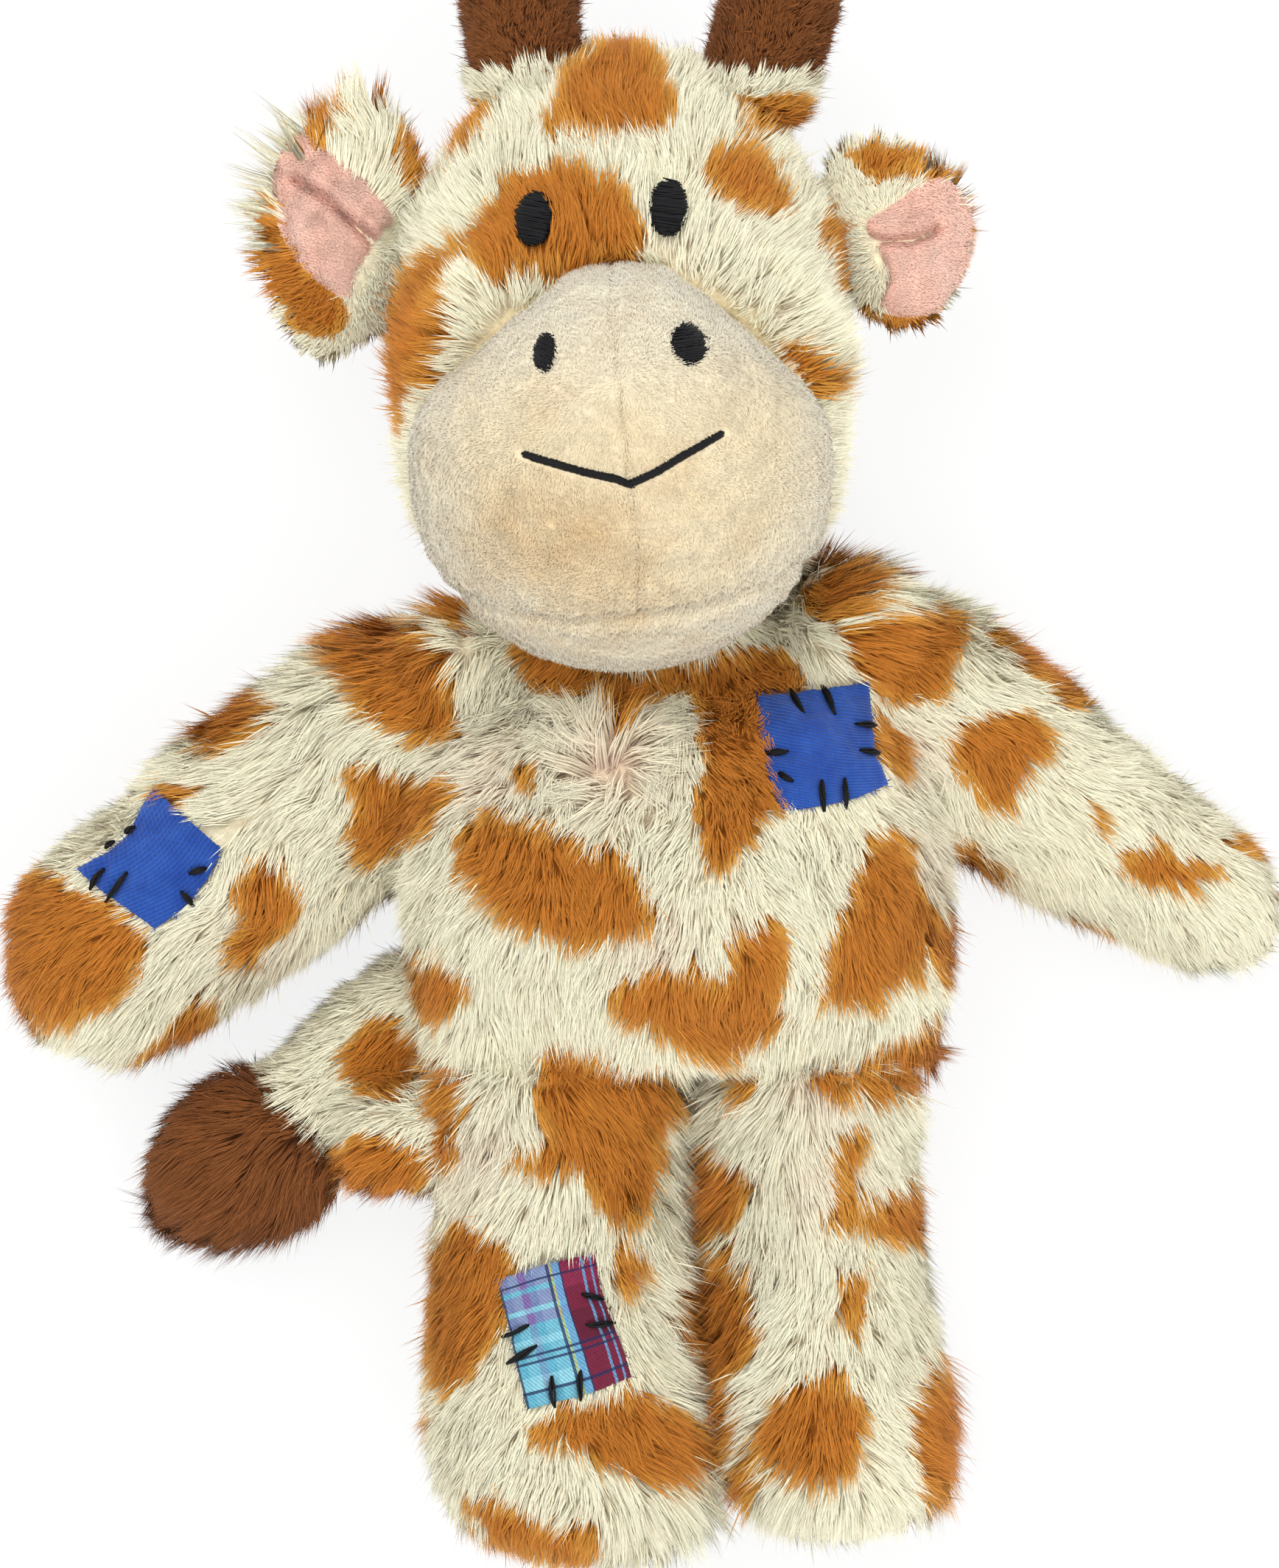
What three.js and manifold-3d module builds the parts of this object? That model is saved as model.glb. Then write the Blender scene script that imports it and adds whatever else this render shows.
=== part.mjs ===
// Plush giraffe dog toy lying on its back. Millimetres, +Z up through the belly, +Y towards the head.
// Right and left are the toy's own, so its right arm points towards -X.
import * as THREE from 'three';
import Module from 'manifold-3d';
import { mergeVertices } from 'three/addons/utils/BufferGeometryUtils.js';

const wasm = await Module();
wasm.setup();

// Fabrics and clearances
const furThickness = 6;
const velourThickness = 2.2;
const patchThickness = 0.9;
const threadThickness = 1.2;
const seamGap = 0.3;
const runningGap = 0.9;
const nicheWall = 2.5;
const restingFlat = 0.5;

// Body: widths and depths run from the hip seam over the belly to the shoulders
const hipSeamY = -58;
const bodyLength = 96;
const bodyWidths = [108, 116, 100];
const bodyDepths = [56, 75, 36];
const bodyCentresX = [9, 7, 2];
const shoulderRound = 27;
const bodySquareness = 2.3;
const sideSeamHeight = 33;

// Neck ball that the head nods on, round about its cross axis
const neckX = -0.5;
const neckY = 25;
const neckHeight = 31;
const neckRadius = 24;
const neckHalfWidth = 33;

// Head
const headX = -3.7;
const headBottomY = 36;
const headLength = 119.5;
const headWidths = [94, 96, 93];
const headDepths = [82, 85, 82];
const headBottomRound = 32;
const headTopRound = 66;
const headSquareness = 2.15;
const headSeamHeight = 40;

// Muzzle dome on the lower half of the face
const muzzleX = -3.7;
const muzzleY = 64.5;
const muzzleHeight = 73;
const muzzleWidth = 85.5;
const muzzleLength = 83;
const muzzleRise = 38;
const muzzleBaseHeight = 62;
const chinSeamY = 35;
const chinSeamLean = 7;

// Limbs: widths and depths at the root, halfway and at the end. The arms keep their places on the body's sides and
// below its shoulders, and the legs on its hip seam.
const shoulderY = hipSeamY + bodyLength;
const bodyRightX = bodyCentresX[1] - bodyWidths[1] / 2;
const bodyLeftX = bodyCentresX[1] + bodyWidths[1] / 2;
const armRootInset = [1, 6.5];
const armRootDrop = [28, 20.5];
const legRootInset = [34, 29.4];
const limbs = {
  arm_right: {
    root: [bodyRightX + armRootInset[0], shoulderY - armRootDrop[0]],
    heading: 215.5,
    length: 99,
    widths: [50, 53, 47],
    depths: [49, 47, 43],
    startRound: 25,
    endRound: 22,
  },
  arm_left: {
    root: [bodyLeftX - armRootInset[1], shoulderY - armRootDrop[1]],
    heading: -31.5,
    length: 91,
    widths: [50, 42, 28],
    depths: [46, 38, 28],
    startRound: 25,
    endRound: 15,
  },
  leg_right: {
    root: [bodyRightX + legRootInset[0], hipSeamY - seamGap],
    heading: 270,
    length: 105,
    widths: [54, 54, 61],
    depths: [54, 49, 62],
    startRound: 0,
    endRound: 26,
    drift: [0, -0.5, 0.5],
  },
  leg_left: {
    root: [bodyLeftX - legRootInset[1], hipSeamY - seamGap],
    heading: 270,
    length: 100,
    widths: [45.5, 46, 52],
    depths: [54, 48, 60],
    startRound: 0,
    endRound: 24,
    drift: [0, 2.2, 8],
  },
};
const limbSquareness = 2;
const armholeRadius = 8;
const armDrop = 5;

// Tail
const tailRoot = [-48.6, -45];
const tailHeading = 226;
const tailHeight = 15;
const tailLength = 34;
const tailWidths = [23, 26, 34];
const tailDepths = [23, 27, 30];
const tailRootRound = 11.5;
const tailLift = 30;
const tuftHeading = 207;
const tuftLength = 37;
const tuftWidths = [36, 37, 28];
const tuftDepths = [30, 32, 26];
const tuftEndRound = 16;
const tuftOverlap = 8;
const tailMouthRound = 1;

// Ears: the root chord lies against the side of the head
const ears = {
  ear_right: { root: [-51.5, 111.5], heading: 168, length: 25, widths: [40, 55, 42], endRound: 14 },
  ear_left: { root: [44.8, 113], heading: 17, length: 23, widths: [38, 42, 30], endRound: 13 },
};
const earThickness = 9;
const earTipThickness = 6.3;
const earRootDepth = 4;
const earHeight = 45;
const earSquareness = 2.4;
const liningThickness = 2.6;
const liningRim = 5;
const earFlapBack = 25;
const earFlapForward = 40;

// Horns
const horns = {
  horn_right: { root: [-23.5, 148], heading: 96 },
  horn_left: { root: [24, 146], heading: 72 },
};
const hornLength = 30;
const hornWidths = [23, 25, 24];
const hornHeight = 47;
const hornEndRound = 11;
const hornBend = 20;

// Squeaker between the two halves of the filling
const squeakerX = 5;
const squeakerY = -18;
const squeakerHeight = 24;
const squeakerRadius = 17;
const squeakerBaseDepth = 12;
const squeakerDomeDepth = 13;
const squeakerWall = 1.2;
const squeakerTravel = 4;
const squeakerLap = 5;
const domeCrownRadius = 10;
const domeCrownDrop = 1.5;
const domeShoulderRadius = 15.3;
const domeShoulderDrop = 5.7;
const reedRadius = 4;
const reedTipRadius = 2.8;
const reedLength = 7;
const reedBore = 1.4;
const reedFlange = 1.2;
const reedFlangeRadius = 6;

// Sewn patches: the distance along the form that carries each, the distance to the left of its middle, the lengths of
// the edges, and the turn in the plan
const chestPatch = { along: 66, left: -31, size: [23.5, 22], turn: 8 };
const armPatch = { along: 55.3, left: -9.4, size: [20, 23], turn: -40 };
const legPatch = { along: 55.2, left: 1.5, size: [22, 23.5], turn: 19 };

// Embroidery of the face
const eyeSize = [7.2, 10.6];
const eyes = {
  eye_right: { centre: [-20.8, 111.5], turn: -8 },
  eye_left: { centre: [5.7, 113.5], turn: 2 },
};
const nostrils = {
  nostril_right: { centre: [-18, 82], size: [4.4, 7], turn: -12 },
  nostril_left: { centre: [9.2, 83.5], size: [6, 7.4], turn: 14 },
};
const mouthPoints = [[-22.5, 62.5], [-12, 59], [-1.8, 57.2], [8, 61], [16, 66.5]];
const mouthWidth = 1.9;
const cuttingHeight = 200;

// Colours
const caramel = 0xd0842a;
const cream = 0xf2eedd;
const brown = 0x6e4422;
const beige = 0xecd9b8;
const pink = 0xe6b3a4;
const blue = 0x2f57ba;
const plaid = 0x8fb4cf;
const black = 0x17171a;
const fillWhite = 0xf4f4f2;
const plasticWhite = 0xe9ecef;

const degrees = Math.PI / 180;
const roundSteps = 4;

// The value at t of the parabola through three values at 0, 1/2 and 1.
function through([first, middle, last], t) {
  return first * (1 - t) * (1 - 2 * t) + middle * 4 * t * (1 - t) + last * t * (2 * t - 1);
}

// Closed solid from rings of equal count, each ring a list of points; a ring of one point is a tip.
function solidFromRings(rings) {
  const points = [];
  const starts = [];
  for (const ring of rings) {
    starts.push(points.length);
    points.push(...ring);
  }
  const faces = [];
  for (let k = 0; k < rings.length - 1; k += 1) {
    const here = rings[k].length;
    const next = rings[k + 1].length;
    const count = Math.max(here, next);
    for (let i = 0; i < count; i += 1) {
      const j = (i + 1) % count;
      const a = starts[k] + (here > 1 ? i : 0);
      const b = starts[k] + (here > 1 ? j : 0);
      const c = starts[k + 1] + (next > 1 ? i : 0);
      const d = starts[k + 1] + (next > 1 ? j : 0);
      if (here > 1) faces.push([a, b, d]);
      if (next > 1) faces.push([a, d, c]);
    }
  }
  for (const [k, flip] of [[0, true], [rings.length - 1, false]]) {
    const ring = rings[k];
    if (ring.length < 2) continue;
    const middle = new THREE.Vector3();
    ring.forEach((point) => middle.addScaledVector(point, 1 / ring.length));
    points.push(middle);
    for (let i = 0; i < ring.length; i += 1) {
      const a = starts[k] + i;
      const b = starts[k] + ((i + 1) % ring.length);
      faces.push(flip ? [a, points.length - 1, b] : [a, b, points.length - 1]);
    }
  }
  return wasmSolid(points.flatMap((point) => point.toArray()), faces.flat());
}

function wasmSolid(positions, indices) {
  return new wasm.Manifold(new wasm.Mesh({
    numProp: 3,
    vertProperties: new Float32Array(positions),
    triVerts: new Uint32Array(indices),
  }));
}

function solidFromGeometry(geometry) {
  geometry.deleteAttribute('normal');
  geometry.deleteAttribute('uv');
  const merged = mergeVertices(geometry, 1e-4);
  return wasmSolid(merged.attributes.position.array, merged.index.array);
}

function unite(solids) {
  return solids.reduce((sum, solid) => sum.add(solid));
}

// Distances along a form with a rounded start and end.
function stationsAlong(length, startRound, endRound, middleSteps) {
  const stations = [];
  const arc = (i) => 1 - Math.cos((i / roundSteps) * 90 * degrees);
  if (startRound > 0) {
    for (let i = 0; i < roundSteps; i += 1) stations.push(-startRound * (1 - arc(i)));
  }
  for (let i = 0; i <= middleSteps; i += 1) stations.push(((length - endRound) * i) / middleSteps);
  for (let i = roundSteps - 1; i >= 0; i -= 1) stations.push(length - endRound * arc(i));
  return stations;
}

// A stuffed form that swells and tapers along a level heading, as sections square to it.
function stuffedForm(form, grow, segments = 16, middleSteps = 4) {
  const heading = new THREE.Vector3(Math.cos(form.heading * degrees), Math.sin(form.heading * degrees), 0);
  const across = new THREE.Vector3(-heading.y, heading.x, 0);
  const startRound = form.startRound > 0 ? form.startRound + grow : 0;
  const endRound = form.endRound + grow;
  const length = form.length + grow;
  const square = form.square ?? limbSquareness;
  const rings = stationsAlong(length, startRound, endRound, middleSteps).map((station) => {
    const t = THREE.MathUtils.clamp(station / form.length, 0, 1);
    const fromEnd = station - (length - endRound);
    let swell = 1;
    if (fromEnd > 0) swell = Math.sqrt(Math.max(0, 1 - (fromEnd / endRound) ** 2));
    if (station < 0) swell = Math.sqrt(Math.max(0, 1 - (station / startRound) ** 2));
    const restDepth = through(form.depths, t) / 2;
    const halfWidth = (through(form.widths, t) / 2 + grow) * swell;
    const halfDepth = (restDepth + grow) * swell;
    const drift = form.drift ? through(form.drift, t) : 0;
    const centre = new THREE.Vector3(form.root[0] + drift, form.root[1], form.height ?? restDepth - restingFlat);
    centre.addScaledVector(heading, station);
    if (swell < 1e-6) return [centre];
    return Array.from({ length: segments }, (_, i) => {
      const angle = ((i + 0.5) / segments) * 360 * degrees;
      const side = Math.sign(Math.cos(angle)) * Math.abs(Math.cos(angle)) ** (2 / square);
      const up = Math.sign(Math.sin(angle)) * Math.abs(Math.sin(angle)) ** (2 / square);
      return centre.clone().addScaledVector(across, side * halfWidth).setZ(centre.z + up * halfDepth);
    });
  });
  return solidFromRings(rings);
}

// An ellipsoid that is round about its X axis.
function ellipsoid(centre, halfSizes, segments = 20, bands = 12) {
  const geometry = new THREE.SphereGeometry(1, segments, bands);
  geometry.rotateZ(90 * degrees);
  geometry.scale(...halfSizes);
  geometry.translate(...centre);
  return solidFromGeometry(geometry);
}

// The solid at each of the given turns about an axis through a pivot, joined.
function swept(solid, pivot, axis, angles) {
  const away = new THREE.Matrix4().makeTranslation(...pivot.map((value) => -value));
  const back = new THREE.Matrix4().makeTranslation(...pivot);
  return unite(angles.map((angle) => {
    const turn = new THREE.Matrix4().makeRotationAxis(new THREE.Vector3(...axis), angle * degrees);
    return solid.transform(back.clone().multiply(turn).multiply(away).elements);
  }));
}

const floorNormal = [0, 0, 1];
const onFloor = (solid) => solid.trimByPlane(floorNormal, 0);
const above = (solid, height) => solid.trimByPlane(floorNormal, height);
const below = (solid, height) => solid.trimByPlane([0, 0, -1], -height);

// Upright prism over an outline in the plan.
function prism(outline, bottom, top) {
  const geometry = new THREE.ExtrudeGeometry(outline, { depth: top - bottom, bevelEnabled: false, curveSegments: 8 });
  geometry.translate(0, 0, bottom);
  return solidFromGeometry(geometry);
}

function turnedOutline(points, centre, turn) {
  const c = Math.cos(turn * degrees);
  const s = Math.sin(turn * degrees);
  const turnPoint = ([x, y]) => new THREE.Vector2(centre[0] + x * c - y * s, centre[1] + x * s + y * c);
  return new THREE.Shape(points.map(turnPoint));
}

function rectangle([width, height]) {
  return [[-width / 2, -height / 2], [width / 2, -height / 2], [width / 2, height / 2], [-width / 2, height / 2]];
}

function oval([width, height], count = 16) {
  return Array.from({ length: count }, (_, i) => {
    const angle = (i / count) * 360 * degrees;
    return [(width / 2) * Math.cos(angle), (height / 2) * Math.sin(angle)];
  });
}

// Forms
const bodyForm = {
  root: [0, hipSeamY],
  heading: 90,
  length: bodyLength,
  widths: bodyWidths,
  depths: bodyDepths,
  drift: bodyCentresX,
  startRound: 0,
  endRound: shoulderRound,
  square: bodySquareness,
};
const headForm = {
  root: [headX, headBottomY + headBottomRound],
  heading: 90,
  length: headLength - headBottomRound,
  widths: headWidths,
  depths: headDepths,
  startRound: headBottomRound,
  endRound: headTopRound,
  square: headSquareness,
};
const tailForm = {
  root: tailRoot,
  heading: tailHeading,
  length: tailLength,
  widths: tailWidths,
  depths: tailDepths,
  height: tailHeight,
  startRound: tailRootRound,
  endRound: tailMouthRound,
};
const tuftForm = {
  root: [
    tailRoot[0] + tailLength * Math.cos(tailHeading * degrees),
    tailRoot[1] + tailLength * Math.sin(tailHeading * degrees),
  ],
  heading: tuftHeading,
  length: tuftLength,
  widths: tuftWidths,
  depths: tuftDepths,
  startRound: 0,
  endRound: tuftEndRound,
};

// Group, materials and nodes
const giraffe = new THREE.Group();

function addNode(name, solid, color, roughness = 0.95) {
  const mesh = solid.getMesh();
  const geometry = new THREE.BufferGeometry();
  geometry.setAttribute('position', new THREE.BufferAttribute(new Float32Array(mesh.vertProperties), 3));
  geometry.setIndex(new THREE.BufferAttribute(new Uint32Array(mesh.triVerts), 1));
  geometry.computeVertexNormals();
  const node = new THREE.Mesh(geometry, new THREE.MeshStandardMaterial({ color, roughness, metalness: 0 }));
  node.name = name;
  giraffe.add(node);
}

// Moving forms at the turns that reach furthest into what carries them, each grown by a clearance
const verticalAxis = [0, 0, 1];
const crossAxis = [1, 0, 0];
const raiseSign = { arm_right: -1, arm_left: 1 };

function armNiche(name, clearance, turns) {
  const form = limbs[name];
  const angles = turns.map((angle) => angle * raiseSign[name]);
  return swept(stuffedForm(form, clearance, 16, 2), [...form.root, 0], verticalAxis, angles);
}

function tailNiche(clearance, turns) {
  const axis = [Math.sin(tailHeading * degrees), -Math.cos(tailHeading * degrees), 0];
  return swept(stuffedForm(tailForm, clearance, 12, 1), [...tailRoot, tailHeight], axis, turns);
}

function neckBall(grow) {
  return ellipsoid([neckX, neckY, neckHeight], [neckHalfWidth + grow, neckRadius + grow, neckRadius + grow], 20, 10);
}

function muzzleSolid(grow) {
  const halfSizes = [muzzleWidth / 2 + grow, muzzleLength / 2 + grow, muzzleRise + grow];
  return ellipsoid([muzzleX, muzzleY, muzzleHeight], halfSizes, 22, 14);
}

function hornForm(name) {
  return {
    ...horns[name],
    length: hornLength,
    widths: hornWidths,
    depths: hornWidths,
    height: hornHeight,
    startRound: hornWidths[0] / 2,
    endRound: hornEndRound,
  };
}

function hornNiche(name, clearance, turns) {
  return swept(stuffedForm(hornForm(name), clearance, 14, 1), [...horns[name].root, hornHeight], crossAxis, turns);
}

function earForm(name) {
  return {
    ...ears[name],
    depths: [earThickness, earThickness, earTipThickness],
    height: earHeight,
    startRound: earRootDepth,
    square: earSquareness,
  };
}

function earAxis(name) {
  const angle = (ears[name].heading - 90) * degrees;
  return [Math.cos(angle), Math.sin(angle), 0];
}

// Body
function bodySolid(inset, clearance, armTurns, tailTurns) {
  return stuffedForm(bodyForm, -inset, inset > 0 ? 14 : 20, inset > 0 ? 3 : 4)
    .add(neckBall(-inset))
    .subtract(armNiche('arm_right', clearance, armTurns))
    .subtract(armNiche('arm_left', clearance, armTurns))
    .subtract(tailNiche(clearance, tailTurns));
}

function squeakerPocket() {
  const radius = squeakerRadius + seamGap;
  const top = squeakerHeight + squeakerBaseDepth + squeakerDomeDepth + seamGap;
  const geometry = new THREE.CylinderGeometry(radius, radius, top - squeakerHeight + seamGap, 16);
  geometry.rotateX(90 * degrees);
  geometry.translate(squeakerX, squeakerY, (top + squeakerHeight - seamGap) / 2);
  return solidFromGeometry(geometry);
}

const bodyOuter = onFloor(bodySolid(0, runningGap, [-armDrop], [0, tailLift]));
const bodyCavity = bodySolid(furThickness, runningGap + nicheWall, [0], [0]);
const bodyShell = bodyOuter.subtract(bodyCavity);
addNode('torso_front_panel', above(bodyShell, sideSeamHeight + seamGap / 2), caramel);
addNode('torso_back_panel', below(bodyShell, sideSeamHeight - seamGap / 2), cream);
const bodyFilling = bodySolid(furThickness + seamGap, runningGap + nicheWall + seamGap, [0], [0])
  .subtract(squeakerPocket());
addNode('torso_filling_front', above(bodyFilling, sideSeamHeight + seamGap / 2), fillWhite);
addNode('torso_filling_back', below(bodyFilling, sideSeamHeight - seamGap / 2), fillWhite);

// Squeaker: a base cup, a dome that telescopes over it and the reed in the floor of the cup
function turned(profile) {
  const geometry = new THREE.LatheGeometry(profile.map(([r, z]) => new THREE.Vector2(r, z)), 16);
  geometry.rotateX(90 * degrees);
  geometry.translate(squeakerX, squeakerY, squeakerHeight);
  return solidFromGeometry(geometry);
}

const cupRadius = squeakerRadius - squeakerWall - seamGap;
const reedHole = reedRadius + seamGap;
addNode('squeaker_base', turned([
  [reedHole, 0], [cupRadius, 0], [cupRadius, squeakerBaseDepth], [cupRadius - squeakerWall, squeakerBaseDepth],
  [cupRadius - squeakerWall, squeakerWall], [reedHole, squeakerWall], [reedHole, 0],
]), plasticWhite, 0.4);
const domeTop = squeakerBaseDepth + squeakerDomeDepth;
const domeRim = squeakerBaseDepth - squeakerLap;
const domeWallTop = squeakerBaseDepth + squeakerTravel + seamGap;
const domeInside = squeakerRadius - squeakerWall;
addNode('squeaker_dome', turned([
  [0, domeTop - squeakerWall],
  [domeCrownRadius, domeTop - domeCrownDrop - squeakerWall],
  [domeShoulderRadius - squeakerWall, domeTop - domeShoulderDrop - squeakerWall / 2],
  [domeInside, domeWallTop],
  [domeInside, domeRim],
  [squeakerRadius, domeRim],
  [squeakerRadius, domeWallTop],
  [domeShoulderRadius, domeTop - domeShoulderDrop],
  [domeCrownRadius, domeTop - domeCrownDrop],
  [0, domeTop],
]), plasticWhite, 0.4);
const flangeBottom = squeakerWall + seamGap;
const flangeTop = flangeBottom + reedFlange;
const reedTop = squeakerWall + reedLength;
addNode('squeaker_reed', turned([
  [reedBore, flangeBottom],
  [reedFlangeRadius, flangeBottom],
  [reedFlangeRadius, flangeTop],
  [reedRadius, flangeTop],
  [reedTipRadius, reedTop],
  [reedBore, reedTop],
  [reedBore, flangeBottom],
]), plasticWhite, 0.35);

// Head
function headSolid(inset, clearance) {
  let solid = stuffedForm(headForm, -inset, inset > 0 ? 14 : 20, 2).subtract(neckBall(clearance));
  const turns = inset > 0 ? [0] : [-hornBend, hornBend];
  for (const name of Object.keys(horns)) solid = solid.subtract(hornNiche(name, clearance, turns));
  return solid;
}

const muzzleRecess = above(muzzleSolid(seamGap), muzzleBaseHeight - seamGap);
const headOuter = onFloor(headSolid(0, runningGap)).subtract(muzzleRecess);
const headCavity = headSolid(furThickness, runningGap + nicheWall);
const headShell = headOuter.subtract(headCavity);
addNode('head_front_panel', above(headShell, headSeamHeight + seamGap / 2), caramel);
addNode('head_back_panel', below(headShell, headSeamHeight - seamGap / 2), cream);
const headFilling = headSolid(furThickness + seamGap, runningGap + nicheWall + seamGap).subtract(muzzleRecess);
addNode('head_filling', headFilling, fillWhite);

// Muzzle
const muzzleOuter = above(muzzleSolid(0), muzzleBaseHeight);
const muzzleShell = muzzleOuter.subtract(muzzleSolid(-velourThickness));
const chinNormal = new THREE.Vector3(0, Math.cos(chinSeamLean * degrees), -Math.sin(chinSeamLean * degrees));
const chinOffset = chinNormal.dot(new THREE.Vector3(0, chinSeamY, muzzleHeight));
const [cheeks, chin] = [
  muzzleShell.trimByPlane(chinNormal.toArray(), chinOffset + seamGap / 2),
  muzzleShell.trimByPlane(chinNormal.clone().negate().toArray(), -chinOffset + seamGap / 2),
];
addNode('muzzle_right_panel', cheeks.trimByPlane([-1, 0, 0], -muzzleX + seamGap / 2), beige);
addNode('muzzle_left_panel', cheeks.trimByPlane([1, 0, 0], muzzleX + seamGap / 2), beige);
addNode('muzzle_chin_panel', chin, beige);
addNode('muzzle_filling', above(muzzleSolid(-velourThickness - seamGap), muzzleBaseHeight), fillWhite);

// Ears: an outer leaf with the lining let into its front face
for (const name of Object.keys(ears)) {
  const form = earForm(name);
  const liningFloor = earHeight + earThickness / 2 - liningThickness;
  const liningForm = {
    ...form,
    startRound: 0,
    length: form.length - liningRim,
    height: liningFloor + 1,
    widths: form.widths.map((width) => width - 2 * liningRim),
    depths: [2, 2, 1].map((share) => share * liningThickness),
  };
  const pivot = [...form.root, earHeight];
  const flaps = [earFlapBack, 0, -earFlapForward];
  const headClearance = swept(stuffedForm(headForm, seamGap, 20, 2), pivot, earAxis(name), flaps);
  const lining = (grow) => above(stuffedForm(liningForm, grow, 16, 2), liningFloor - grow);
  const leaf = stuffedForm(form, 0, 16, 2).subtract(lining(seamGap));
  addNode(`${name}_outer`, leaf.subtract(headClearance), caramel);
  addNode(`${name}_lining`, lining(0).subtract(headClearance), pink);
}

// Horns: a short-pile cover with a hole at the root, over its filling
function rootHole(form, height) {
  const depth = form.startRound;
  const geometry = new THREE.CylinderGeometry(armholeRadius, armholeRadius, depth, 8);
  geometry.rotateZ(90 * degrees);
  geometry.translate(-form.startRound, 0, 0);
  geometry.rotateZ(form.heading * degrees);
  geometry.translate(form.root[0], form.root[1], height);
  return solidFromGeometry(geometry);
}

for (const name of Object.keys(horns)) {
  const form = hornForm(name);
  const cover = stuffedForm(form, 0, 14, 1).subtract(stuffedForm(form, -velourThickness, 10, 1));
  addNode(`${name}_cover`, cover.subtract(rootHole(form, hornHeight)), brown);
  const filling = stuffedForm(form, -velourThickness - seamGap, 10, 1).subtract(rootHole(form, hornHeight));
  addNode(`${name}_filling`, filling, fillWhite);
}

// Arms and legs: a fur skin that is open at the root, over its filling
function extended(form, before, after) {
  const heading = form.heading * degrees;
  return {
    ...form,
    root: [form.root[0] - before * Math.cos(heading), form.root[1] - before * Math.sin(heading)],
    length: form.length + before + after,
  };
}

for (const [name, form] of Object.entries(limbs)) {
  const outer = onFloor(stuffedForm(form, 0, 16, 2));
  const isArm = form.startRound > 0;
  const hole = isArm ? rootHole(form, form.depths[0] / 2 - restingFlat) : null;
  const inner = (inset) => stuffedForm(form, -inset, 12, 2);
  if (isArm) {
    addNode(`${name}_skin`, outer.subtract(inner(furThickness)).subtract(hole), caramel);
    addNode(`${name}_filling`, inner(furThickness + seamGap).subtract(hole), fillWhite);
  } else {
    const opened = stuffedForm(extended(form, 1, 0), -furThickness, 12, 2);
    addNode(`${name}_skin`, outer.subtract(opened), caramel);
    addNode(`${name}_filling`, inner(furThickness + seamGap), fillWhite);
  }
}

// Tail: a skin open at its far end over its filling, and the tuft that closes it
const tailInside = (inset, beyond) => {
  const form = { ...extended(tailForm, 0, inset + beyond), endRound: inset + tailMouthRound };
  return stuffedForm(form, -inset, 10, 1);
};
addNode('tail_skin', onFloor(stuffedForm(tailForm, 0, 14, 1)).subtract(tailInside(furThickness, 2)), cream);
addNode('tail_filling', tailInside(furThickness + seamGap, 0), fillWhite);
const tailDirection = [Math.cos(tailHeading * degrees), Math.sin(tailHeading * degrees), 0];
const tailEnd = tailRoot[0] * tailDirection[0] + tailRoot[1] * tailDirection[1] + tailLength;
const tuft = stuffedForm(extended(tuftForm, tuftOverlap, 0), 0, 16, 3).trimByPlane(tailDirection, tailEnd + seamGap);
addNode('tail_tuft', onFloor(tuft), brown);

// Patches and embroidery: what an upright prism cuts from a thin layer over the carrying form
function layerPiece(outline, centre, turn, solidAt, thickness, bottom) {
  const layer = solidAt(seamGap + thickness).subtract(solidAt(seamGap));
  return layer.intersect(prism(turnedOutline(outline, centre, turn), bottom, cuttingHeight));
}

// The point of the plan at a distance along a form and a distance to the left of its middle.
function onForm(form, { along, left }) {
  const heading = form.heading * degrees;
  const middle = form === bodyForm ? bodyCentresX[1] : 0;
  return [
    form.root[0] + middle + along * Math.cos(heading) - left * Math.sin(heading),
    form.root[1] + along * Math.sin(heading) + left * Math.cos(heading),
  ];
}

const bodyAt = (grow) => stuffedForm(bodyForm, grow, 20, 4);
const headAt = (grow) => stuffedForm(headForm, grow, 20, 2);
const limbAt = (name) => (grow) => stuffedForm(limbs[name], grow, 16, 2);
const patches = [
  ['chest_patch', chestPatch, bodyForm, bodyAt, sideSeamHeight, blue],
  ['arm_patch', armPatch, limbs.arm_right, limbAt('arm_right'), limbs.arm_right.depths[1] / 2, blue],
  ['leg_patch', legPatch, limbs.leg_right, limbAt('leg_right'), limbs.leg_right.depths[1] / 2, plaid],
];
for (const [name, patch, form, carrier, bottom, color] of patches) {
  const piece = layerPiece(rectangle(patch.size), onForm(form, patch), patch.turn, carrier, patchThickness, bottom);
  addNode(name, piece, color);
}
for (const [name, eye] of Object.entries(eyes)) {
  addNode(name, layerPiece(oval(eyeSize), eye.centre, eye.turn, headAt, threadThickness, headSeamHeight), black);
}
for (const [name, nostril] of Object.entries(nostrils)) {
  const outline = oval(nostril.size, 12);
  addNode(name, layerPiece(outline, nostril.centre, nostril.turn, muzzleSolid, threadThickness, muzzleHeight), black);
}
const mouthOutline = [
  ...mouthPoints.map(([x, y]) => [x, y - mouthWidth / 2]),
  ...mouthPoints.map(([x, y]) => [x, y + mouthWidth / 2]).reverse(),
];
addNode('mouth', layerPiece(mouthOutline, [0, 0], 0, muzzleSolid, threadThickness, muzzleHeight), black);

// The origin is under the middle of the toy
const box = new THREE.Box3().setFromObject(giraffe);
giraffe.position.set(-(box.min.x + box.max.x) / 2, -(box.min.y + box.max.y) / 2, -box.min.z);
giraffe.updateMatrixWorld(true);

export default giraffe;
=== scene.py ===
import math

import bpy
import numpy as np
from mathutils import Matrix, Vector
from mathutils.bvhtree import BVHTree
from mathutils.kdtree import KDTree


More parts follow.
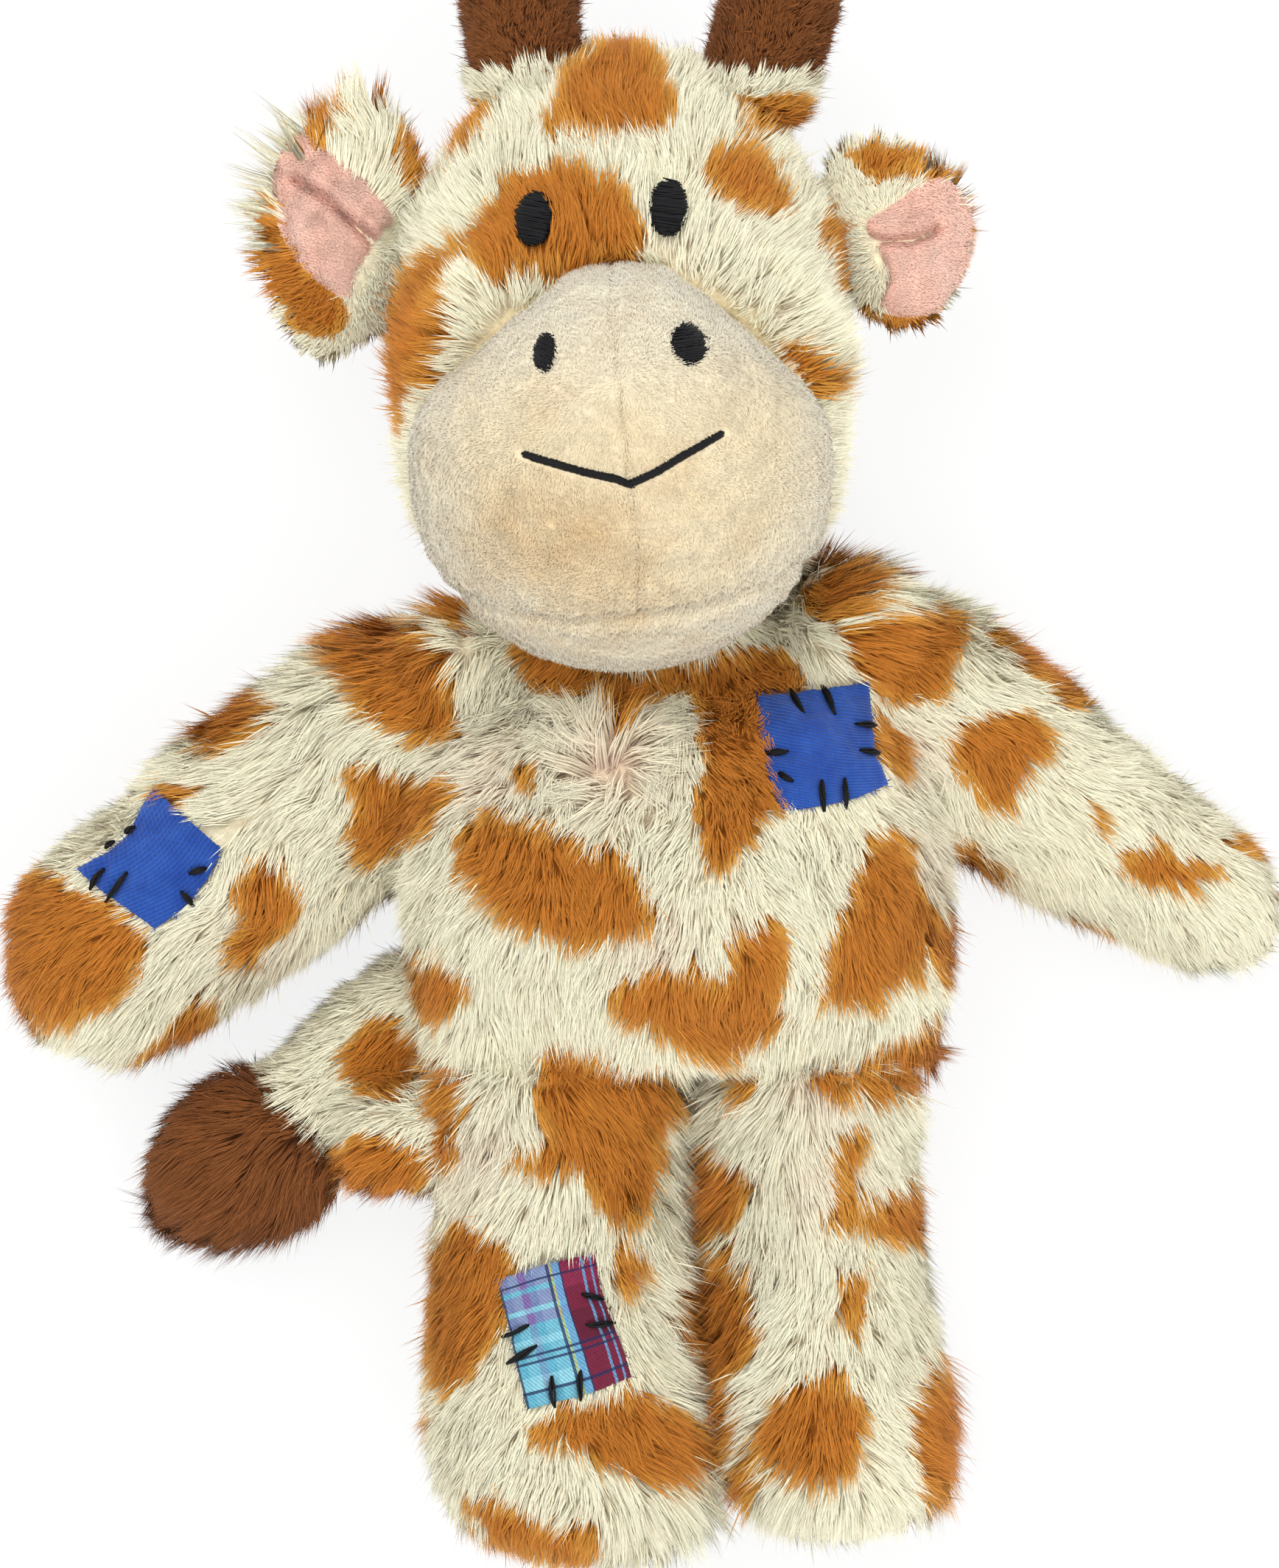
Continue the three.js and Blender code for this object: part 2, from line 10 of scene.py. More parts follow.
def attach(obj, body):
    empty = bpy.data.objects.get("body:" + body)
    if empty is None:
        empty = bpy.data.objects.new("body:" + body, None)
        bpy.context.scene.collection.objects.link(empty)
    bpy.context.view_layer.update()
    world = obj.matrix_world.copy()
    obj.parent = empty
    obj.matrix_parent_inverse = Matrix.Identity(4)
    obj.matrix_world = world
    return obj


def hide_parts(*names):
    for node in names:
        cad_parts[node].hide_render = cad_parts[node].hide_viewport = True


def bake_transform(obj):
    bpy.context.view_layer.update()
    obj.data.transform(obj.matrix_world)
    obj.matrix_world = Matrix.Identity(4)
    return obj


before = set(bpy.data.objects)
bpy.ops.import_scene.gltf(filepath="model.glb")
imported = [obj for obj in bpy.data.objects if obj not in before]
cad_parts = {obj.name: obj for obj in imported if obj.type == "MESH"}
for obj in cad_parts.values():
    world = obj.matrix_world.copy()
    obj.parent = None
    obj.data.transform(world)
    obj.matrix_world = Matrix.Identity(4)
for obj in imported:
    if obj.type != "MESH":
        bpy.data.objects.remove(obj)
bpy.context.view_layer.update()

MM = 0.001
PART_SHIFT = np.array([-1.414154, -7.26783, 0.0])  # part coordinates to the row frame, mm
FUR_INSET = 3.6          # the backing of the plush lies this far under the CAD surface, mm
PRESSED_INSET = 1.0      # the same under a patch, an eye or an ear lining
STRAND_WIDTH = 0.30
CAMERA_ABOVE = 1010.0    # height of the camera over the floor, mm
MEASURE_HEIGHT = 60.0    # height of the plane the photograph was measured at, mm
PIXELS_PER_MM = 6.6
FRAME_SIZE = (1736, 2128)
DISPLAY_SCALE = 1.0637   # the spot outlines are in pixels of the photograph over this
LENS = PIXELS_PER_MM * (CAMERA_ABOVE - MEASURE_HEIGHT)
CHEST_PITCH, ARM_PITCH, PLAID_PITCH = 0.75, 1.0, 0.62  # between the twill lines of each patch, mm
YARN_PITCH = 0.035       # between the warp threads, cm
VELOUR_THICKNESS = 0.9
LINING_THICKNESS = 2.0
PATCH_THICKNESS = 0.6
PATCH_LIFT = 0.35        # a patch and its stitches lie this far over the surface, mm
THREAD_RADIUS = 0.17


# Colours, as sRGB of 255, to linear
def lin(red, green, blue):
    s = np.array([red, green, blue], float) / 255
    return np.where(s <= 0.04045, s / 12.92, ((s + 0.055) / 1.055) ** 2.4)


# From root to tip the pile's colours grow lighter: the roots are painted darker, as the shade deep in the
# pile, and the tips lighter, as the light on them
CREAM_TIP, CREAM_MID, CREAM_ROOT = lin(255, 250, 224), lin(255, 245, 211), lin(254, 234, 198)
CARAMEL_TIP, CARAMEL_MID, CARAMEL_ROOT = lin(208, 131, 50), lin(195, 117, 38), lin(176, 99, 31)
GOLD_TIP, GOLD_MID = lin(230, 168, 76), lin(217, 148, 55)
BROWN_TIP, BROWN_MID, BROWN_ROOT = lin(140, 84, 42), lin(118, 68, 32), lin(84, 46, 20)
# a painted pinkish shade for the roots where the pile parts
PINK_PARTING_SHADE = lin(226, 186, 164)
VELOUR_BEIGE, VELOUR_PALE, VELOUR_TAN = lin(244, 228, 193), lin(248, 240, 217), lin(226, 196, 150)
# the third ear colour is a painted shade for the lining's fold
EAR_PINK, EAR_PALE, EAR_FOLD_SHADE = lin(250, 200, 180), lin(250, 212, 195), lin(238, 172, 150)


def part(x, y, z=0.0):
    return np.array([x, y, z]) + PART_SHIFT


def unit(vectors):
    return vectors / np.maximum(np.linalg.norm(vectors, axis=-1, keepdims=True), 1e-9)


FOLDS = {  # plush pushed up beside the chin and below the root of the tail: centre and radii, mm
    "torso": [((43, 33, 36), (15, 15, 17)), ((-38, 26, 36), (12, 13, 16))],
    "tail": [((-51, -74, 30), (13, 12, 13))],
}
MUZZLE_CENTRE = (-2.5, 66.2)
MUZZLE_RADIUS = 42.5
PRESSED_CHEEK = 0.14
CHEEK_AWAY = 42.5
SAG = {  # how the free end hangs from its seam: where it starts along x, over what length, and how far
    "tail": (-58, -25, (1.5, -3.0)),
    "tuft": (-58, -25, (1.5, -3.0)),
    "arm_left": (55, 60, (0.0, -2.6)),
}


# Meshes and arrays
def arrays_of(mesh):
    co = np.empty(len(mesh.vertices) * 3)
    mesh.vertices.foreach_get("co", co)
    mesh.calc_loop_triangles()
    tris = np.empty(len(mesh.loop_triangles) * 3, np.int32)
    mesh.loop_triangles.foreach_get("vertices", tris)
    return co.reshape(-1, 3) / MM, tris.reshape(-1, 3)


def mesh_from(name, co, tris, smooth_shading=False):
    mesh = bpy.data.meshes.new(name)
    mesh.vertices.add(len(co))
    mesh.vertices.foreach_set("co", (np.asarray(co, float) * MM).ravel())
    mesh.loops.add(tris.size)
    mesh.loops.foreach_set("vertex_index", np.asarray(tris, np.int32).ravel())
    mesh.polygons.add(len(tris))
    mesh.polygons.foreach_set("loop_start", np.arange(0, tris.size, tris.shape[1], dtype=np.int32))
    if smooth_shading:
        mesh.polygons.foreach_set("use_smooth", np.ones(len(tris), bool))
    mesh.update(calc_edges=True)
    return mesh


def new_object(name, mesh, material=None):
    obj = bpy.data.objects.new(name, mesh)
    bpy.context.scene.collection.objects.link(obj)
    if material:
        mesh.materials.append(material)
    return obj


def apply_modifiers(obj):
    graph = bpy.context.evaluated_depsgraph_get()
    mesh = bpy.data.meshes.new_from_object(obj.evaluated_get(graph), depsgraph=graph)
    obj.modifiers.clear()
    old, obj.data = obj.data, mesh
    bpy.data.meshes.remove(old)


def vertex_normals(co, tris):
    a, b, c = co[tris[:, 0]], co[tris[:, 1]], co[tris[:, 2]]
    face = np.cross(b - a, c - a)
    normals = np.zeros_like(co)
    for corner in range(3):
        np.add.at(normals, tris[:, corner], face)
    return unit(normals)


def smooth(values, tris, rounds, factor=0.5):
    """Values at the vertices, each moved towards the mean of its neighbours."""
    values = np.array(values, float)
    edges = np.concatenate([tris[:, [0, 1]], tris[:, [1, 2]], tris[:, [2, 0]]])
    count = np.bincount(edges[:, 0], minlength=len(values)).astype(float)
    shape = (-1,) + (1,) * (values.ndim - 1)
    for _ in range(rounds):
        total = np.zeros_like(values)
        np.add.at(total, edges[:, 0], values[edges[:, 1]])
        mean = total / np.maximum(count, 1).reshape(shape)
        values += factor * (mean - values)
    return values


def remeshed(name, co, tris, voxel):
    obj = new_object(name, mesh_from(name, co, tris))
    remesh = obj.modifiers.new("remesh", "REMESH")
    remesh.mode, remesh.voxel_size, remesh.adaptivity = "VOXEL", voxel * MM, 0.0
    apply_modifiers(obj)
    return obj


def from_muzzle(points):
    """Distance in plan from the middle of the muzzle, and the heading there in degrees."""
    dx, dy = (points - PART_SHIFT)[:, :2].T - np.array(MUZZLE_CENTRE)[:, None]
    return np.hypot(dx, dy), np.degrees(np.arctan2(dy, dx))


def upper_cheek(points):
    """From 0 to 1, how much the head's plush presses on the muzzle at this heading."""
    heading = from_muzzle(points)[1]
    return np.maximum(np.exp(-((heading - 135) / 24) ** 4), np.exp(-((heading - 45) / 24) ** 4))


def narrowed(co):
    """The muzzle with its upper cheeks pressed in by the head's plush."""
    share = PRESSED_CHEEK * upper_cheek(co) * np.clip(from_muzzle(co)[0] / MUZZLE_RADIUS, 0, 1.1) ** 2
    moved = co.copy()
    moved[:, :2] -= share[:, None] * (co[:, :2] - PART_SHIFT[:2] - MUZZLE_CENTRE)
    return moved


def cheek_folds():
    """Folds of the head's plush that stand against the upper cheeks of the muzzle: centre and radii, mm."""
    co, _ = arrays_of(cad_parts["head_front_panel"].data)
    co = co - PART_SHIFT
    folds = []
    for heading in (154, 145, 136, 127, 118, 109, 71, 62, 53, 44, 35, 26):
        turn = math.radians(heading)
        x = MUZZLE_CENTRE[0] + CHEEK_AWAY * math.cos(turn)
        y = MUZZLE_CENTRE[1] + CHEEK_AWAY * math.sin(turn)
        near = np.hypot(co[:, 0] - x, co[:, 1] - y) < 7
        folds.append(((x, y, co[near, 2].max() - 8), (7.5, 7.5, 11)))
    return folds


def ellipsoid(centre, radii, columns=24, rows=14):
    """Vertices and triangles of a closed round form."""
    turn = np.arange(columns) * 2 * math.pi / columns
    rise = np.linspace(-math.pi / 2, math.pi / 2, rows + 2)[1:-1]
    ring = np.stack([np.cos(turn)[None] * np.cos(rise)[:, None], np.sin(turn)[None] * np.cos(rise)[:, None],
                     np.repeat(np.sin(rise)[:, None], columns, axis=1)], axis=-1).reshape(-1, 3)
    points = np.vstack([ring, (0, 0, -1), (0, 0, 1)]) * radii + centre
    here, after = np.arange(columns), (np.arange(columns) + 1) % columns
    low, high = len(ring), len(ring) + 1
    faces = [np.column_stack([np.full(columns, low), after, here])]
    for row in range(rows - 1):
        a, b = row * columns + here, row * columns + after
        faces += [np.column_stack([a, b, b + columns]), np.column_stack([a, b + columns, a + columns])]
    top = (rows - 1) * columns
    faces.append(np.column_stack([np.full(columns, high), top + here, top + after]))
    return points, np.vstack(faces)


def joined(*meshes):
    points, faces, start = [], [], 0
    for co, tris in meshes:
        points.append(co)
        faces.append(tris + start)
        start += len(co)
    return np.vstack(points), np.vstack(faces)


def outer_surface(nodes, voxel, grow=0.0, rounds=3, folds=()):
    """One closed surface round several CAD nodes: vertices and triangles in mm."""
    meshes = [ellipsoid(part(*centre), np.array(radii) + grow) for centre, radii in folds]
    for node in nodes:
        co, tris = arrays_of(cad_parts[node].data)
        if node.startswith("muzzle"):
            co = narrowed(co)
        if grow:
            co = co + grow * vertex_normals(co, tris)
        meshes.append((co, tris))
    obj = remeshed("outer_surface", *joined(*meshes), voxel)
    co, tris = arrays_of(obj.data)
    bpy.data.objects.remove(obj)
    co, tris = largest_shell(co, tris)
    return smooth(co, tris, rounds), tris


def largest_shell(co, tris):
    label = np.arange(len(co))
    while True:
        low = label[tris].min(axis=1)
        new = label.copy()
        for corner in range(3):
            np.minimum.at(new, tris[:, corner], low)
        new = new[new]
        if (new == label).all():
            break
        label = new
    best, size = None, -1.0
    for value in np.unique(label):
        spread = np.ptp(co[label == value], axis=0).sum()
        if spread > size:
            best, size = value, spread
    return kept_part(co, tris, label == best)


def kept_part(co, tris, kept):
    index = np.cumsum(kept) - 1
    return co[kept], index[tris[kept[tris].all(axis=1)]]


def tree_of(co, tris):
    return BVHTree.FromPolygons(co.tolist(), tris.tolist())


def waves(points, length, seed, count=7):
    """Smooth noise of about unit size with the given wavelength in mm."""
    rng = np.random.default_rng(seed)
    direction = rng.normal(size=(count, points.shape[1]))
    direction /= np.linalg.norm(direction, axis=1, keepdims=True)
    speed = 2 * math.pi / length * rng.uniform(0.6, 1.4, count)
    phase = rng.uniform(0, 2 * math.pi, count)
    return np.sin(points @ direction.T * speed + phase).sum(axis=1) / math.sqrt(count / 2)


CLOTH_FRAMES = 20


def puffed(name, co, tris, voxel, cap, shrink=1.0, pressure=4.0, pinned=None):
    """The surface after a short cloth simulation with air inside, each point moved at most cap mm."""
    start = co - shrink * smooth(vertex_normals(co, tris), tris, 3)
    obj = remeshed(name + "_cloth", start, tris, voxel)
    before, coarse = arrays_of(obj.data)
    cloth = obj.modifiers.new("cloth", "CLOTH")
    cloth.settings.use_pressure = True
    cloth.settings.uniform_pressure_force = pressure
    cloth.settings.effector_weights.gravity = 0.0
    if pinned is not None:
        group = obj.vertex_groups.new(name="pinned")
        group.add([int(i) for i in np.flatnonzero(pinned(before))], 1.0, "REPLACE")
        cloth.settings.vertex_group_mass = "pinned"
    cloth.point_cache.frame_start, cloth.point_cache.frame_end = 1, CLOTH_FRAMES
    for number in range(1, CLOTH_FRAMES + 1):
        bpy.context.scene.frame_set(number)
    graph = bpy.context.evaluated_depsgraph_get()
    after, _ = arrays_of(obj.evaluated_get(graph).data)
    moved = after - before
    size = np.linalg.norm(moved, axis=1, keepdims=True)
    moved *= np.minimum(1, cap / np.maximum(size, 1e-9))
    moved = smooth(moved, coarse, 1)
    print("CLOTH", name, len(before), "points, moved up to", round(float(size.max()), 2), "mm")
    bpy.data.objects.remove(obj)
    bpy.context.scene.frame_set(1)
    lookup = KDTree(len(before))
    for i, p in enumerate(before.tolist()):
        lookup.insert(p, i)
    lookup.balance()
    result = np.empty_like(start)
    for i, p in enumerate(start.tolist()):
        near = lookup.find_n(p, 5)
        weight = np.array([1 / (0.5 + d) ** 2 for _, _, d in near])
        result[i] = start[i] + weight @ moved[[k for _, k, _ in near]] / weight.sum()
    outward = smooth(vertex_normals(co, tris), tris, 3)
    grown = np.median(((result - co) * outward).sum(axis=1))
    return result - outward * grown


# Places in the photograph
def picture(points):
    """Where points of the object, in mm, lie in the photograph, in its pixels."""
    scale = LENS / (CAMERA_ABOVE - points[:, 2])
    x = FRAME_SIZE[0] / 2 + (points[:, 0] - PART_SHIFT[0]) * scale
    y = FRAME_SIZE[1] / 2 - (points[:, 1] - PART_SHIFT[1]) * scale
    return np.column_stack([x, y])


def on_surface(tree, pixels, lift=0.0):
    """The points of a surface that the camera sees at pixels of the photograph, raised by lift mm."""
    pixels = np.asarray(pixels, float)
    flat = pixels.reshape(-1, 2)
    way = np.column_stack([(flat[:, 0] - FRAME_SIZE[0] / 2) / LENS, (FRAME_SIZE[1] / 2 - flat[:, 1]) / LENS,
                           -np.ones(len(flat))])
    origin = PART_SHIFT + (0, 0, CAMERA_ABOVE)
    height = np.full(len(flat), np.nan)
    for i, direction in enumerate(way):
        hit = tree.ray_cast(Vector(origin), Vector(direction))[0]
        if hit is not None:
            height[i] = hit[2]
    missed = np.flatnonzero(np.isnan(height))
    found = np.flatnonzero(~np.isnan(height))
    for i in missed:
        near = found[np.argmin(((flat[found] - flat[i]) ** 2).sum(axis=1))]
        height[i] = height[near]
    points = origin + way * (CAMERA_ABOVE - height - np.ravel(lift))[:, None]
    return points.reshape(pixels.shape[:-1] + (3,))


def inside(outline, points):
    ring = np.asarray(outline, float)
    result = np.zeros(len(points), bool)
    low, high = ring.min(axis=0), ring.max(axis=0)
    near = np.flatnonzero(((points >= low) & (points <= high)).all(axis=1))
    x, y = points[near, 0], points[near, 1]
    hit = np.zeros(len(near), bool)
    for (x0, y0), (x1, y1) in zip(ring, np.roll(ring, -1, axis=0)):
        if y0 == y1:
            continue
        crosses = (y0 > y) != (y1 > y)
        hit ^= crosses & (x < (x1 - x0) * (y - y0) / (y1 - y0) + x0)
    result[near] = hit
    return result


def line_distance(line, points, closed=False):
    """Distance from each point to a line through several points, in the units of both."""
    line = np.asarray(line, float)
    ends = np.roll(line, -1, axis=0) if closed else line[1:]
    starts = line if closed else line[:-1]
    away = np.full(len(points), 1e9)
    for a, b in zip(starts, ends):
        ab = b - a
        t = np.clip(((points - a) @ ab) / max(float(ab @ ab), 1e-9), 0, 1)
        away = np.minimum(away, np.linalg.norm(points - (a + t[:, None] * ab), axis=1))
    return away


def rounded(outline, rounds=2):
    """An outline with its corners cut, so that it reads as a curve."""
    ring = np.asarray(outline, float)
    for _ in range(rounds):
        after = np.roll(ring, -1, axis=0)
        ring = np.stack([ring * 0.75 + after * 0.25, ring * 0.25 + after * 0.75], axis=1).reshape(-1, 2)
    return ring


def along(line, shares):
    """Points at shares of the length of a line through several points."""
    line = np.asarray(line, float)
    step = np.linalg.norm(np.diff(line, axis=0), axis=1)
    place = np.concatenate([[0], np.cumsum(step)]) / step.sum()
    return np.column_stack([np.interp(shares, place, line[:, i]) for i in range(line.shape[1])])


# Outlines measured on the photograph, in its pixels
CHEST_PATCH = {
    "top": [(1028, 944), (1105, 935), (1181, 925)],
    "right": [(1181, 925), (1184, 966), (1188, 996), (1191, 1026), (1206, 1064)],
    "bottom": [(1062, 1101), (1084, 1098), (1146, 1087), (1167, 1081), (1206, 1064)],
    "left": [(1028, 944), (1030, 1000), (1042, 1050), (1062, 1101)],
}
ARM_PATCH = {
    "top": [(207, 1068), (250, 1108), (300, 1152)],
    "right": [(300, 1152), (285, 1190), (254, 1230), (210, 1261)],
    "bottom": [(103, 1178), (132, 1206), (156, 1222), (186, 1242), (210, 1261)],
    "left": [(207, 1068), (196, 1086), (184, 1110), (170, 1132), (150, 1150), (126, 1166), (103, 1178)],
}
LEG_PATCH = {
    "top": [(672, 1737), (719, 1722), (764, 1710), (808, 1700)],
    "right": [(808, 1700), (816, 1749), (843, 1819), (859, 1869)],
    "bottom": [(716, 1913), (797, 1893), (859, 1869)],
    "left": [(672, 1737), (684, 1775), (699, 1845), (716, 1913)],
}
EAR_RIGHT_LINING = [
    (384, 196), (396, 182), (417, 178), (436, 185), (454, 201), (478, 219), (499, 243), (515, 264),
    (525, 283), (533, 301), (520, 309), (512, 322), (494, 346), (478, 380), (475, 401), (465, 404),
    (443, 388), (420, 372), (401, 351), (385, 327), (375, 301), (369, 275), (369, 248), (375, 222),
]
EAR_RIGHT_FOLD = [(400, 243), (441, 269), (467, 293), (503, 324)]
EAR_LEFT_LINING = [
    (1172, 304), (1198, 286), (1217, 274), (1230, 263), (1244, 251), (1263, 242), (1281, 241),
    (1295, 251), (1306, 265), (1316, 284), (1322, 309), (1322, 330), (1316, 355), (1306, 378),
    (1295, 396), (1283, 410), (1267, 424), (1249, 428), (1226, 428), (1205, 424), (1194, 412),
    (1206, 387), (1206, 371), (1200, 350), (1191, 334), (1182, 320),
]
EAR_LEFT_FOLD = [(1180, 326), (1217, 327), (1240, 325), (1256, 318), (1268, 311)]
CENTRE_SEAM = [(829, 340), (831, 358), (830, 434), (844, 545), (853, 653), (866, 746), (868, 836)]
CHIN_SEAM = [
    (560, 770), (612, 800), (665, 827), (768, 847), (868, 838), (955, 827), (1045, 795), (1100, 760),
]
EYES = {"eye_right": (725, 297, 50, 73, 8), "eye_left": (907, 282, 50, 75, 4)}
NOSTRILS = {"nostril_right": (740, 479, 31, 51, 8), "nostril_left": (934, 467, 47, 54, -18)}
MOUTH = [
    (708, 616), (742, 626), (790, 640), (835, 650), (855, 657), (890, 641), (930, 617), (960, 600),
    (982, 586),
]


def ring_of(sides):
    return sides["top"][:-1] + sides["right"][:-1] + sides["bottom"][::-1][:-1] + sides["left"][::-1][:-1]


def oval(x, y, width, height, lean, count=28):
    """Points round an upright oval that leans to the right at its top by some degrees."""
    turn = np.linspace(0, 2 * math.pi, count, endpoint=False)
    a, b = np.cos(turn) * width / 2, np.sin(turn) * height / 2
    c, s = math.cos(math.radians(lean)), math.sin(math.radians(lean))
    return np.column_stack([x + a * c - b * s, y + a * s + b * c])


# Places that carry no pile of the plush: an outline, and lines that the pile may cross by some mm
BARE = {
    "chest_patch": ("torso", ring_of(CHEST_PATCH), [([(1026, 946), (1042, 1050), (1064, 1100)], 2.6)]),
    "arm_patch": ("arm_right", ring_of(ARM_PATCH),
                  [([(214, 1064), (250, 1106), (302, 1150), (288, 1190)], 2.8)]),
    "leg_patch": ("leg_right", ring_of(LEG_PATCH),
                  [([(674, 1772), (672, 1735), (760, 1708), (806, 1698)], 4.0)]),
    "eye_right": ("head", oval(*EYES["eye_right"]), []),
    "eye_left": ("head", oval(*EYES["eye_left"]), []),
    "ear_right_lining": ("ear_right", EAR_RIGHT_LINING, [([(478, 400), (494, 346), (533, 301)], 1.6)]),
    "ear_left_lining": ("ear_left", EAR_LEFT_LINING, [([(1172, 304), (1206, 371), (1194, 412)], 1.0)]),
}


def pressed(points, region):
    """From 0, free pile, to 1, held down by what is sewn on there. For points that face the camera."""
    share = np.zeros(len(points))
    where = picture(points)
    for owner, outline, _ in BARE.values():
        if region == owner:
            away = line_distance(outline, where, closed=True) / PIXELS_PER_MM
            away[inside(outline, where)] = 0
            share = np.maximum(share, 1 - np.clip((away - 0.3) / 2.6, 0, 1))
    return share


def crosses_bare(points, region, slack):
    """True where a point lies over something bare by more than the pile may. slack is from 0 to 1."""
    hit = np.zeros(len(points), bool)
    where = picture(points)
    for owner, outline, covers in BARE.values():
        if region != owner:
            continue
        deep = np.flatnonzero(inside(outline, where))
        if not len(deep):
            continue
        away = line_distance(outline, where[deep], closed=True) / PIXELS_PER_MM
        over = away > 0.25 + 0.35 * slack[deep]
        for line, reach in covers:
            over &= line_distance(line, where[deep]) / PIXELS_PER_MM > reach * slack[deep]
        hit[deep] |= over
    return hit


